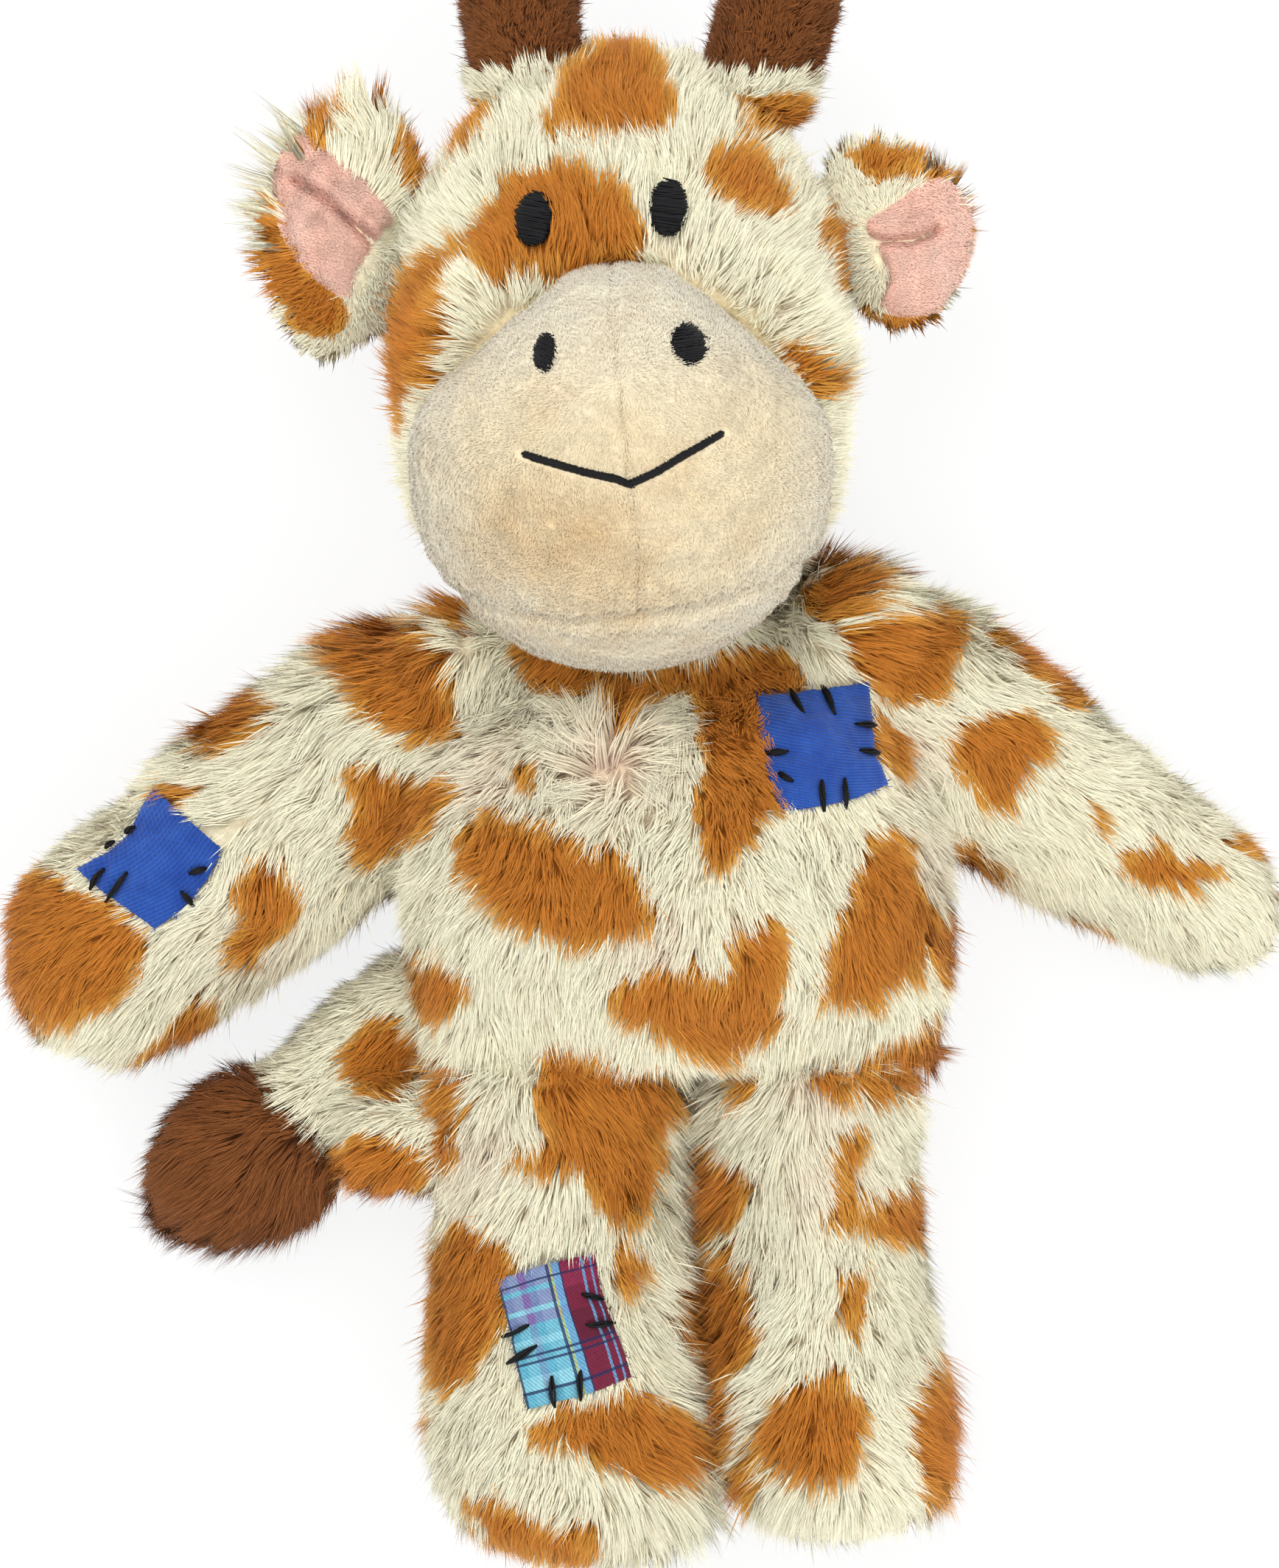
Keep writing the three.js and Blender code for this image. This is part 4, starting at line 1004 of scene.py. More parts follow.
def fur_colours(points, front, region, levels):
    """Colours of the pile at heights from 0, its root, to 1, its tip: one array for each level."""
    share = spot_share(points, front, region)
    caramel = (share > 0.4)[:, None]
    core = np.clip((share - 0.7) / 0.3, 0, 1)[:, None]
    where = picture(points)
    # painted pinkish shade at the roots where the pile parts
    parted = np.zeros(len(points))
    for x, y, radius in PARTINGS:
        parted = np.maximum(parted, np.exp(-((where - (x, y)) ** 2).sum(axis=1) / radius ** 2))
    parted = (parted * front)[:, None]
    cream_root = CREAM_ROOT * (1 - parted) + PINK_PARTING_SHADE * parted
    cream_mid = CREAM_MID * (1 - parted * 0.5) + PINK_PARTING_SHADE * parted * 0.5
    cream = (cream_root, cream_mid, np.tile(CREAM_TIP, (len(points), 1)))
    edge = (CARAMEL_ROOT, GOLD_MID, GOLD_TIP)
    deep = (CARAMEL_ROOT, CARAMEL_MID, CARAMEL_TIP)
    shades = []
    for step in range(3):
        spot = edge[step] * (1 - core) + deep[step] * core
        shades.append(np.where(caramel, spot, cream[step]))
    result = []
    for level in levels:
        low = shades[0] + (shades[1] - shades[0]) * min(level * 2, 1)
        result.append(low + (shades[2] - low) * max(level * 2 - 1, 0))
    return result


# The pile
def comb_direction(region, points, normals):
    """The way the pile lies, before it is laid along the surface, and how far it reaches there."""
    x, y, z = (points - PART_SHIFT).T
    above, below = np.clip(normals[:, 1], 0, 1), np.clip(-normals[:, 1], 0, 1)
    zero = np.zeros_like(x)
    reach = np.ones(len(points))
    if region == "torso":
        down = np.column_stack([np.clip((x - 5) / 160, -0.4, 0.4), zero - 1, zero])
        cx, cy = x + 5.8, y - 5
        near = np.exp(-(cx ** 2 + cy ** 2) / 12 ** 2)[:, None]
        whorl = unit(np.column_stack([cx + cy * 0.7, cy - cx * 0.7 + 1.5, zero]) + 1e-6)
        whorl = whorl + np.column_stack([waves(points, 5, 31), waves(points, 5, 32), zero]) * 0.5
        ruff = (np.clip((y - 22) / 10, 0, 1) * np.clip((np.abs(x) - 22) / 10, 0, 1))[:, None]
        outward = unit(np.column_stack([np.sign(x), zero - 0.2, zero]))
        reach = 1 + 0.35 * near[:, 0] + 0.6 * ruff[:, 0]
        return (down * (1 - near) + whorl * near) * (1 - ruff) + outward * ruff, reach
    if region.startswith("leg"):
        middle = -17 if region == "leg_right" else 35.6
        out = np.clip((x - middle) / 80, -0.35, 0.35)
        inner = outer = zero
        if region == "leg_right":
            inner = np.clip((x + 8) / 14, 0, 1) * np.clip((-112 - y) / 25, 0, 1)
        else:
            outer = np.clip((x - 52) / 8, 0, 1) * np.clip((-92 - y) / 25, 0, 1)
        reach = 1 + 1.3 * inner + 0.9 * outer
        return np.column_stack([out + inner + 1.2 * outer, zero - 1, zero]), reach
    if region == "head":
        low = np.clip((48 - y) / 12, 0, 1)[:, None]
        out = unit(np.column_stack([x + 3.7, y - 66, (z - 75) * 0.6]))
        corner = unit(np.column_stack([np.sign(x + 3.7), zero - 0.6, zero]))
        way = out * (1 - low) + corner * low
        reach = 1 + 0.35 * low[:, 0]
        # over the upper cheeks of the muzzle the pile spreads away from it
        over = over_muzzle(points)
        outward = np.column_stack([x - MUZZLE_CENTRE[0], y - MUZZLE_CENTRE[1], zero])
        return way * (1 - over[:, None]) + unit(outward) * over[:, None], reach
    heading = {
        "arm_right": 215.5, "arm_left": -31.5, "tail": 226, "tuft": 207, "ear_right": 168, "ear_left": 17,
        "horn_right": 96, "horn_left": 72,
    }[region]
    angle = math.radians(heading)
    way = np.tile((math.cos(angle), math.sin(angle), 0.0), (len(points), 1))
    if region.startswith("ear"):
        centre = {"ear_right": (-62, 114), "ear_left": (54, 114)}[region]
        out = unit(np.column_stack([x - centre[0], y - centre[1], (z - 45) * 0.3]))
        if region == "ear_right":
            reach = np.clip(0.85 + 1.0 * out[:, 1] - 0.7 * out[:, 0], 0.25, 2.1)
        else:
            reach = 0.45 + 1.7 * np.clip(out[:, 0] * 0.8, 0, 1) * np.clip(out[:, 1] + 0.3, 0, 1)
        return unit(out * 1.2 + way * 0.5), reach
    if region == "arm_right":
        hand = np.clip((-92 - x) / 12, 0, 1)
        return unit(way + (0.0, -0.3, 0.0)), 1 + above * (0.7 - 1.3 * hand) + 0.35 * below * hand
    if region == "arm_left":
        hand = np.clip((x - 82) / 15, 0, 1)
        return unit(way + (0.0, -0.6, 0.0)), 1 - 0.6 * above * hand + 0.6 * below * (1 - hand)
    if region == "tail":
        return unit(way + np.column_stack([zero - 0.2, -0.4 * below, zero])), 1 - 0.4 * above + 0.3 * below
    if region == "tuft":
        return unit(way + np.column_stack([zero, -0.5 * below, zero])), 1 - 0.4 * above + 0.3 * below
    return way, reach


PILE = {  # spacing of the clumps, strands in each, height over the backing, reach along it, mm
    "torso": (2.3, 21, 5.1, 6.2),
    "head": (2.3, 21, 5.1, 6.0),
    "arm_right": (2.3, 21, 5.0, 6.4),
    "arm_left": (2.3, 21, 4.8, 6.2),
    "leg_right": (2.3, 21, 5.1, 6.2),
    "leg_left": (2.3, 21, 5.1, 6.2),
    "tail": (2.2, 20, 4.4, 6.4),
    "tuft": (2.2, 24, 4.8, 8.0),
    "ear_right": (1.8, 17, 4.0, 5.6),
    "ear_left": (1.8, 17, 3.6, 4.6),
    "horn_right": (1.4, 17, 2.2, 1.6),
    "horn_left": (1.4, 17, 2.2, 1.6),
}
LEVELS = np.array([0.0, 0.56, 1.0])  # heights of a strand's points
WIDTHS = np.array([1.0, 0.9])
MOST_FACES = 190000      # in one object
STRAYS = 0.08            # the share of strands that stand out of their clump
HELD_HEIGHT = 0.35       # of the pile where something sewn on holds it down
SHOWS_AT = 0.6           # how far along a strand its colour is taken


STRAND_MAP = ((0, 0), (1, 0), (0, 0.6), (1, 0.6), (0.5, 1.2))  # the five points of a strand in its map


def strand_faces(count):
    pattern = np.array([[0, 1, 3], [0, 3, 2], [2, 3, 4]])
    return (pattern[None] + (np.arange(count) * 5)[:, None, None]).reshape(-1, 3)


def scatter(surface, spacing, rng):
    co, tris, exposed = surface["co"], surface["tris"], surface["exposed"]
    a, b, c = co[tris[:, 0]], co[tris[:, 1]], co[tris[:, 2]]
    area = np.linalg.norm(np.cross(b - a, c - a), axis=1) / 2
    count = int(area.sum() / spacing ** 2 * 8)
    pick = rng.choice(len(tris), count, p=area / area.sum())
    r, s = np.sqrt(rng.random(count))[:, None], rng.random(count)[:, None]
    points = a[pick] * (1 - r) + b[pick] * r * (1 - s) + c[pick] * r * s
    cells = np.floor(points / spacing).astype(np.int64)
    _, first = np.unique(cells, axis=0, return_index=True)
    first = np.sort(first)
    points, shown = points[first], exposed[tris[pick[first]]].mean(axis=1)
    if surface["under"]:
        # no pile grows on the face below the muzzle
        grows = (shown > 0.15) | (from_muzzle(points)[0] > MUZZLE_RADIUS - 4) | (points[:, 2] < 30)
        points, shown = points[grows], shown[grows]
    return points, shown


def grow_fur(region, surface, seed):
    """A pile of ribbons in clumps over a surface: objects with painted colours."""
    rng = np.random.default_rng(seed)
    spacing, strands, height, reach = PILE[region]
    centre, shown = scatter(surface, spacing, rng)
    brown = is_brown(region, centre)
    own = {"tree": tree_of(surface["co"], surface["tris"]), "tris": surface["tris"],
           "normals": vertex_normals(surface["co"], surface["tris"])}
    _, normal = nearest(own, centre)
    if not region.startswith(("ear", "horn", "tuft")):
        _, outer = nearest(surface["shape"], centre)
        normal = unit(normal * (1.001 - shown[:, None]) + outer * shown[:, None])
    held = pressed(centre, region) * (normal[:, 2] > 0.05)
    comb, further = comb_direction(region, centre, normal)
    comb = comb - (comb * normal).sum(1, keepdims=True) * normal
    comb = unit(comb + 1e-6)
    side = np.cross(normal, comb)
    n = len(centre)
    turn = waves(centre, 26, seed + 1) * 14 + waves(centre, 8, seed + 4) * 9 + rng.normal(0, 6, n)
    turn = np.radians(turn)[:, None]
    comb = comb * np.cos(turn) + side * np.sin(turn)
    side = np.cross(normal, comb)
    flat = 1 - held * (1 - HELD_HEIGHT)
    tall = height * np.clip(rng.normal(1, 0.1, n) + 0.07 * waves(centre, 14, seed + 2), 0.65, 1.35) * flat
    far = reach * np.clip(rng.normal(1, 0.18, n), 0.5, 1.5) * further
    tall = tall * np.sqrt(further) * (0.6 + 0.4 * shown)
    if region == "head":
        tall = tall * (1 + 0.35 * over_muzzle(centre))
    if region == "torso":
        # the pile hangs over the seams with the legs
        hem = np.clip((-40 - (centre[:, 1] - PART_SHIFT[1])) / 12, 0, 1)
        tall, far = tall * (1 - 0.12 * hem), far * (1 + 0.55 * hem)
    if region.startswith("leg"):
        facing_leg = np.clip(normal[:, 0] * (1 if region == "leg_right" else -1), 0, 1)
        hip = np.clip((centre[:, 1] - PART_SHIFT[1] + 72) / 10, 0, 1)
        tall = tall * (1 + 0.75 * facing_leg + 0.35 * hip)
    if region.startswith("horn"):
        tall, far = np.where(brown, tall, tall * 1.7), np.where(brown, far, far * 2.6)
    # strands of each clump
    angle = rng.uniform(0, 2 * math.pi, (n, strands, 1))
    radius = np.sqrt(rng.random((n, strands, 1))) * spacing * 0.8
    offset = comb[:, None] * np.cos(angle) * radius + side[:, None] * np.sin(angle) * radius
    root = centre[:, None] + offset - normal[:, None] * 0.5
    length = np.clip(rng.normal(1, 0.09, (n, strands, 1)), 0.65, 1.3)
    stray = rng.random((n, strands, 1)) < STRAYS
    gather = np.where(stray, 1.2, rng.uniform(0.75, 1.1, (n, 1, 1)))
    loose = rng.normal(0, 1, (n, strands, 3)) * np.where(stray, 1.0, 0.3)
    lift = normal[:, None] * tall[:, None, None] * length * np.where(stray, 1.3, 1.0)
    run = comb[:, None] * far[:, None, None] * length * np.where(stray, 0.75, 1.0)
    sway = side[:, None] * (waves(centre, 11, seed + 3) * 0.6)[:, None, None]
    tip = centre[:, None] + offset * gather + lift + run + loose
    middle = root + lift * 0.62 + run * 0.2 + (offset * 0.05) + sway
    drift = np.repeat((normal * tall[:, None] + comb * far[:, None]) * SHOWS_AT, strands, axis=0)
    root, middle, tip = (v.reshape(-1, 3) for v in (root, middle, tip))
    facing = np.repeat(is_front(normal, region), strands)
    owner = np.repeat(np.arange(n), strands)
    slack = rng.random(len(root))
    level = np.repeat(normal[:, 2] > 0.05, strands)
    bare = level & (crosses_bare(tip, region, slack) | crosses_bare((tip + middle) / 2, region, slack))
    root, middle, tip, facing, owner, drift = (v[~bare] for v in (root, middle, tip, facing, owner, drift))
    t = LEVELS[:, None, None]
    curve = root * (1 - t) ** 2 + 2 * middle * t * (1 - t) + tip * t ** 2
    total = len(root)
    curve[:, :, 2] = np.maximum(curve[:, :, 2], 0.15 + rng.random(total) * 0.5)
    course = unit(tip - root)
    across = unit(np.cross(course, normal[owner]))
    up = np.cross(across, course)
    roll = np.radians(rng.uniform(-35, 35, total))[:, None]
    width_way = across * np.cos(roll) + up * np.sin(roll)
    half = STRAND_WIDTH / 2 * rng.uniform(0.75, 1.25, (total, 1))
    points, shading = np.empty((total, 5, 3)), np.empty((total, 5, 3))
    lit = normal + (normal[:, 2:] > -0.2) * np.array([(0.0, 0.0, 0.35)])
    if region == "head":
        lit = lit + over_muzzle(centre)[:, None] * (0, 0, 1.2)
    facing_out = unit(lit)[owner] + course * 0.15 + across * rng.uniform(-0.3, 0.3, (total, 1))
    for step in range(2):
        points[:, step * 2] = curve[step] - width_way * half * WIDTHS[step]
        points[:, step * 2 + 1] = curve[step] + width_way * half * WIDTHS[step]
        shading[:, step * 2] = unit(facing_out - width_way * 0.25)
        shading[:, step * 2 + 1] = unit(facing_out + width_way * 0.25)
    points[:, 4] = curve[2]
    shading[:, 4] = unit(facing_out)
    # colours by the place where the strand shows, painted darker at the root as shade deep in the pile and
    # lighter towards the tip
    seat = centre[owner] * 0.35 + root * 0.65
    value = rng.normal(1, 0.025, n)[owner] * rng.normal(1, 0.04, total)
    dark = brown[owner]
    value = value * np.where(dark, rng.uniform(0.8, 1.2, total), 1.0)
    shades = fur_colours(seat + drift, facing, region, LEVELS)
    for step, shade in enumerate((BROWN_ROOT, (BROWN_MID + BROWN_TIP) / 2, BROWN_TIP)):
        shades[step] = np.where(dark[:, None], shade, shades[step])
    colours = np.empty((total, 5, 3))
    for step in range(2):
        colours[:, step * 2] = colours[:, step * 2 + 1] = shades[step] * value[:, None]
    colours[:, 4] = shades[2] * value[:, None]
    pieces = max(1, math.ceil(total * 3 / MOST_FACES))
    rank = np.argsort(np.argsort(seat[:, 0] + np.where(facing, 0, 1000.0), kind="stable"), kind="stable")
    group = rank * pieces // total
    made = []
    for number in range(pieces):
        own_strands = np.flatnonzero(group == number)
        tris = strand_faces(len(own_strands))
        name = f"{region}_fur" + (f"_{number + 1}" if pieces > 1 else "")
        mesh = mesh_from(name, points[own_strands].reshape(-1, 3), tris, True)
        paint_mesh(mesh, colours[own_strands].reshape(-1, 3), shading[own_strands].reshape(-1, 3))
        add_plan_map(mesh, seat[own_strands], facing[own_strands], tris)
        made.append(new_object(name, mesh, FUR))
    return made


def add_plan_map(mesh, seat, facing, tris):
    """Each strand's place in a map of the piece seen from the front, beside one seen from the back."""
    low, high = seat[:, :2].min(axis=0), seat[:, :2].max(axis=0)
    span = (high - low).max() + 2
    plan = (seat[:, :2] - low + 1) / span
    place = np.column_stack([plan[:, 0] * 0.49 + np.where(facing, 0.0, 0.505), plan[:, 1] * 0.49])
    size = 0.9 / span * 0.49
    uv = (place[:, None] + (np.array(STRAND_MAP) * size)[None]).reshape(-1, 2)
    layer = mesh.uv_layers.new(name="OFBake")
    layer.data.foreach_set("uv", uv[tris.ravel()].astype(np.float32).ravel())


SEEDS = {region: 100 + 10 * i for i, region in enumerate(BODY_NODES)}
# The two bodies of a region, the joint's place and heading, and where the fabric turns before and beyond it
JOINED = {
    "arm_right": ("torso", "arm_right", (-50, 10), 215.5, -8, 14),
    "arm_left": ("torso", "arm_left", (58.5, 17.5), -31.5, -8, 14),
    "leg_right": ("torso", "leg_right", (-17, -58), 270, 1, 34),
    "leg_left": ("torso", "leg_left", (35.6, -58), 270, 1, 34),
    "tail": ("torso", "tail", (-48.6, -45), 226, -4, 10),
}
RIDES = {"torso": "torso", "head": "head", "tuft": "tail"}


def carry(obj, region):
    """Parents a piece to its region's body, or, in a joined region, bakes its place into its mesh."""
    if region in JOINED:
        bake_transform(obj)
    else:
        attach(obj, RIDES.get(region, region))


for region in BODY_NODES:
    surface = backing(region)
    co, tris = surface["co"], surface["tris"]
    mesh = mesh_from(region + "_backing", co, tris, True)
    _, whole_normals = nearest(surface["shape"], co)
    # the backing is painted with the pile's colour at 0.4 of its height, darker than the tips: painted shade
    # under the pile
    colours = fur_colours(co, is_front(whole_normals, region), region, [0.4])[0]
    colours = np.where(is_brown(region, co)[:, None], BROWN_ROOT, colours)
    paint_mesh(mesh, colours)
    skin = new_object(region + "_backing", mesh, SKIN)
    carry(skin, region)
    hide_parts(*[n for n in BODY_NODES[region] if "filling" not in n and "lining" not in n])
    for fur in grow_fur(region, surface, SEEDS[region]):
        carry(fur, region)
        print("FUR", fur.name, len(fur.data.polygons))


# Threads, sheets and short piles
def tubes(paths, radii, sides=5):
    """Closed round threads along paths (threads, rings, 3) with radii (threads, rings)."""
    threads, rings = paths.shape[:2]
    tangent = unit(np.gradient(paths, axis=1))
    lean = np.abs(unit(paths[:, -1] - paths[:, 0])[:, 2]) > 0.85
    up = np.where(lean[:, None], (1.0, 0.0, 0.0), (0.0, 0.0, 1.0))[:, None]
    a = unit(np.cross(tangent, up))
    b = np.cross(tangent, a)
    turn = np.arange(sides) * 2 * math.pi / sides
    ring = a[:, :, None] * np.cos(turn)[:, None] + b[:, :, None] * np.sin(turn)[:, None]
    points = paths[:, :, None] + ring * radii[:, :, None, None]
    points = np.concatenate([points.reshape(threads, -1, 3), paths[:, :1], paths[:, -1:]], axis=1)
    faces = []
    for r in range(rings - 1):
        for s in range(sides):
            p, q = r * sides + s, r * sides + (s + 1) % sides
            faces += [(p, q, q + sides), (p, q + sides, p + sides)]
    first, last = rings * sides, rings * sides + 1
    for s in range(sides):
        faces.append((first, (s + 1) % sides, s))
        faces.append((last, (rings - 1) * sides + s, (rings - 1) * sides + (s + 1) % sides))
    step = np.arange(threads)[:, None, None] * (rings * sides + 2)
    return points.reshape(-1, 3), (np.array(faces)[None] + step).reshape(-1, 3)


def disc_faces(rings, sides):
    """Triangles of a disc: its middle point, then rings of points outwards."""
    ring = np.arange(sides)
    after = (ring + 1) % sides
    faces = [np.column_stack([np.zeros(sides, int), 1 + after, 1 + ring])]
    for step in range(rings - 1):
        a, b = 1 + step * sides + ring, 1 + step * sides + after
        faces += [np.column_stack([a, b, b + sides]), np.column_stack([a, b + sides, a + sides])]
    return np.vstack(faces)


def thickened(co, tris, normals, thickness):
    """A closed sheet: the surface, a copy below it and the walls round its edge."""
    n = len(co)
    edges = np.concatenate([tris[:, [0, 1]], tris[:, [1, 2]], tris[:, [2, 0]]]).astype(np.int64)
    rim = edges[~np.isin(edges[:, 0] * n + edges[:, 1], edges[:, 1] * n + edges[:, 0])]
    a, b = rim[:, 0], rim[:, 1]
    walls = np.vstack([np.column_stack([b, a, a + n]), np.column_stack([b, a + n, b + n])])
    return np.vstack([co, co - thickness * normals]), np.vstack([tris, tris[:, ::-1] + n, walls])


def grid_faces(rows, columns):
    index = np.arange(rows * columns).reshape(rows, columns)
    a, b, c, d = (v.ravel() for v in (index[:-1, :-1], index[:-1, 1:], index[1:, 1:], index[1:, :-1]))
    return np.vstack([np.column_stack([a, d, c]), np.column_stack([a, c, b])])


MUZZLE_PILE = (8.5, 1.15, 0.72, 0.15)  # fibres per mm2, length, lie and width in mm
LINING_PILE = (16, 1.0, 0.75, 0.16)


def short_pile(name, co, tris, kept, form, colour_of, comb_of, seed, bare=None):
    """Short single fibres over part of a surface, for velour. form: fibres per mm2, length, lie and width."""
    density, length, lie, width = form
    rng = np.random.default_rng(seed)
    a, b, c = co[tris[:, 0]], co[tris[:, 1]], co[tris[:, 2]]
    area = np.linalg.norm(np.cross(b - a, c - a), axis=1) / 2 * kept
    count = min(int(area.sum() * density), MOST_FACES // 3)
    pick = rng.choice(len(tris), count, p=area / area.sum())
    r, s = np.sqrt(rng.random(count))[:, None], rng.random(count)[:, None]
    u, v, w = 1 - r, r * (1 - s), r * s
    root = a[pick] * u + b[pick] * v + c[pick] * w
    if bare is not None:
        free = ~bare(root)
        root, pick, u, v, w = root[free], pick[free], u[free], v[free], w[free]
        count = len(root)
    vn = vertex_normals(co, tris)
    normal = unit(vn[tris[pick, 0]] * u + vn[tris[pick, 1]] * v + vn[tris[pick, 2]] * w)
    comb = comb_of(root) + rng.normal(0, 0.35, (count, 3))
    comb = unit(comb - (comb * normal).sum(1, keepdims=True) * normal)
    size = length * rng.uniform(0.7, 1.2, (count, 1))
    patchy = (0.55 + 0.35 * waves(root, 5.0, seed + 1))[:, None]
    lying = np.clip(lie * (0.8 + 0.4 * patchy), 0.2, 0.95)
    tip = root + size * (normal * np.sqrt(1 - lying ** 2) + comb * lying)
    middle = root + size * 0.5 * (normal * 0.85 + comb * 0.3)
    root = root - normal * 0.15
    flat = unit(np.cross(comb, normal)) * (width / 2)
    points = np.stack([root - flat, root + flat, middle - flat, middle + flat, tip], axis=1)
    faces = strand_faces(count)
    shade = colour_of(root) * rng.normal(1, 0.05, (count, 1))
    # each fibre is painted darker at its root and lighter at its tip: painted shade in the pile
    colours = np.repeat(shade[:, None], 5, axis=1) * np.array([0.92, 0.92, 1.0, 1.0, 1.04])[None, :, None]
    side = unit(flat) * 0.25
    leaning = normal + comb * 0.2
    shading = np.stack([unit(leaning + k * side) for k in (-1, 1, -1, 1, 0)], axis=1)
    mesh = mesh_from(name, points.reshape(-1, 3), faces, True)
    paint_mesh(mesh, colours.reshape(-1, 3), shading.reshape(-1, 3))
    add_plan_map(mesh, root, normal[:, 2] > 0, faces)
    return new_object(name, mesh, VELOUR_PILE)


def velour_object(name, co, tris, colours):
    mesh = mesh_from(name, co, tris, True)
    paint_mesh(mesh, colours)
    return new_object(name, mesh, VELOUR)


# The muzzle: two cheek panels and a chin panel, stuffed tight between their seams
MUZZLE_NODES = ["muzzle_right_panel", "muzzle_left_panel", "muzzle_chin_panel", "muzzle_filling"]


def seam_distance(points, line):
    return line_distance(line, picture(points)) / PIXELS_PER_MM


def muzzle_colours(points):
    where = picture(points)
    # paler towards the top of the muzzle: painted light
    pale = np.clip((600 - where[:, 1]) / 220, 0, 1)[:, None]
    tan = np.exp(-((where[:, 0] - 765) / 130) ** 2 - ((where[:, 1] - 740) / 95) ** 2)
    # more tan towards the chin: painted shade
    low = np.clip((where[:, 1] - 800) / 60, 0, 1) * 0.12
    # paler near the muzzle's edge: painted light
    rim = np.clip((from_muzzle(points)[0] - MUZZLE_RADIUS + 14) / 12, 0, 1)[:, None]
    uneven = 0.09 * waves(points, 15, 61) + 0.05 * waves(points, 5, 62)
    share = np.clip(0.75 * tan + low + uneven, 0, 1)[:, None]
    pale = np.maximum(pale, 0.8 * rim)
    colours = VELOUR_BEIGE * (1 - pale) + VELOUR_PALE * pale
    return colours * (1 - share) + VELOUR_TAN * share


def muzzle_comb(points):
    x, y, _ = (points - PART_SHIFT).T
    swirl = np.radians(waves(points, 30, 63) * 25)
    way = unit(np.column_stack([(x + 3.7) * 0.8, y - 78, np.zeros_like(x)]) + 1e-6)
    c, s = np.cos(swirl), np.sin(swirl)
    return np.column_stack([way[:, 0] * c - way[:, 1] * s, way[:, 0] * s + way[:, 1] * c, np.zeros_like(x)])


def under_thread(points):
    """True where the muzzle's pile is held down by the embroidery."""
    where = picture(points)
    held = line_distance(MOUTH, where) < 8
    for place in NOSTRILS.values():
        held |= inside(oval(*place), where)
    return held


def held_by_seams(points):
    near = np.minimum(seam_distance(points, CENTRE_SEAM), seam_distance(points, CHIN_SEAM)) < 2.4
    return near | (points[:, 2] < 67)


co, tris = outer_surface(MUZZLE_NODES, 1.1, grow=0.1, rounds=4)
co = puffed("muzzle", co, tris, 4.5, 2.2, shrink=1.2, pinned=held_by_seams)
away, _ = nearest(WHOLE["right"], co[tris].mean(axis=1))
shown = away < 2.6
normals = smooth(vertex_normals(co, tris), tris, 2)
front = np.clip((normals[:, 2] + 0.3) / 0.3, 0, 1)
centre_gap, chin_gap = seam_distance(co, CENTRE_SEAM), seam_distance(co, CHIN_SEAM)
along_chin = picture(co)[:, 0] / PIXELS_PER_MM
pucker = np.exp(-(chin_gap / 4.5) ** 2) * np.sin(2 * math.pi * along_chin / 3.6 + 1.3 * waves(co, 9, 64))
sunk = 0.9 * np.exp(-(centre_gap / 0.85) ** 2) + 1.4 * np.exp(-(chin_gap / 1.1) ** 2) + 0.4 * pucker
co = co - normals * ((sunk + 0.10 * waves(co, 7, 65)) * front)[:, None]
normals = smooth(vertex_normals(co, tris), tris, 1)
MUZZLE = {"co": co, "tris": tris, "tree": tree_of(co, tris)}
middle = picture(co[tris].mean(axis=1))
seam_y = np.interp(middle[:, 0], [p[0] for p in CHIN_SEAM], [p[1] for p in CHIN_SEAM])
seam_x = np.interp(middle[:, 1], [p[1] for p in CENTRE_SEAM], [p[0] for p in CENTRE_SEAM])
chin = middle[:, 1] > seam_y
PANELS = {"right": ~chin & (middle[:, 0] < seam_x), "left": ~chin & (middle[:, 0] >= seam_x), "chin": chin}
for side, chosen in PANELS.items():
    used = np.zeros(len(co), bool)
    used[tris[chosen].ravel()] = True
    index = np.cumsum(used) - 1
    own, faces = co[used], index[tris[chosen]]
    shell, faces = thickened(own, faces, normals[used], VELOUR_THICKNESS)
    # the panel under the pile is painted 0.94 times as light as the pile: painted shade under the pile
    piece = velour_object(f"muzzle_{side}", shell, faces, muzzle_colours(shell) * 0.94)
    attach(piece, "head")
    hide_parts(f"muzzle_{side}_panel")
    pile = short_pile(f"muzzle_{side}_pile", co, tris, chosen & shown, MUZZLE_PILE, muzzle_colours,
                      muzzle_comb, 70 + len(side), under_thread)
    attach(pile, "head")


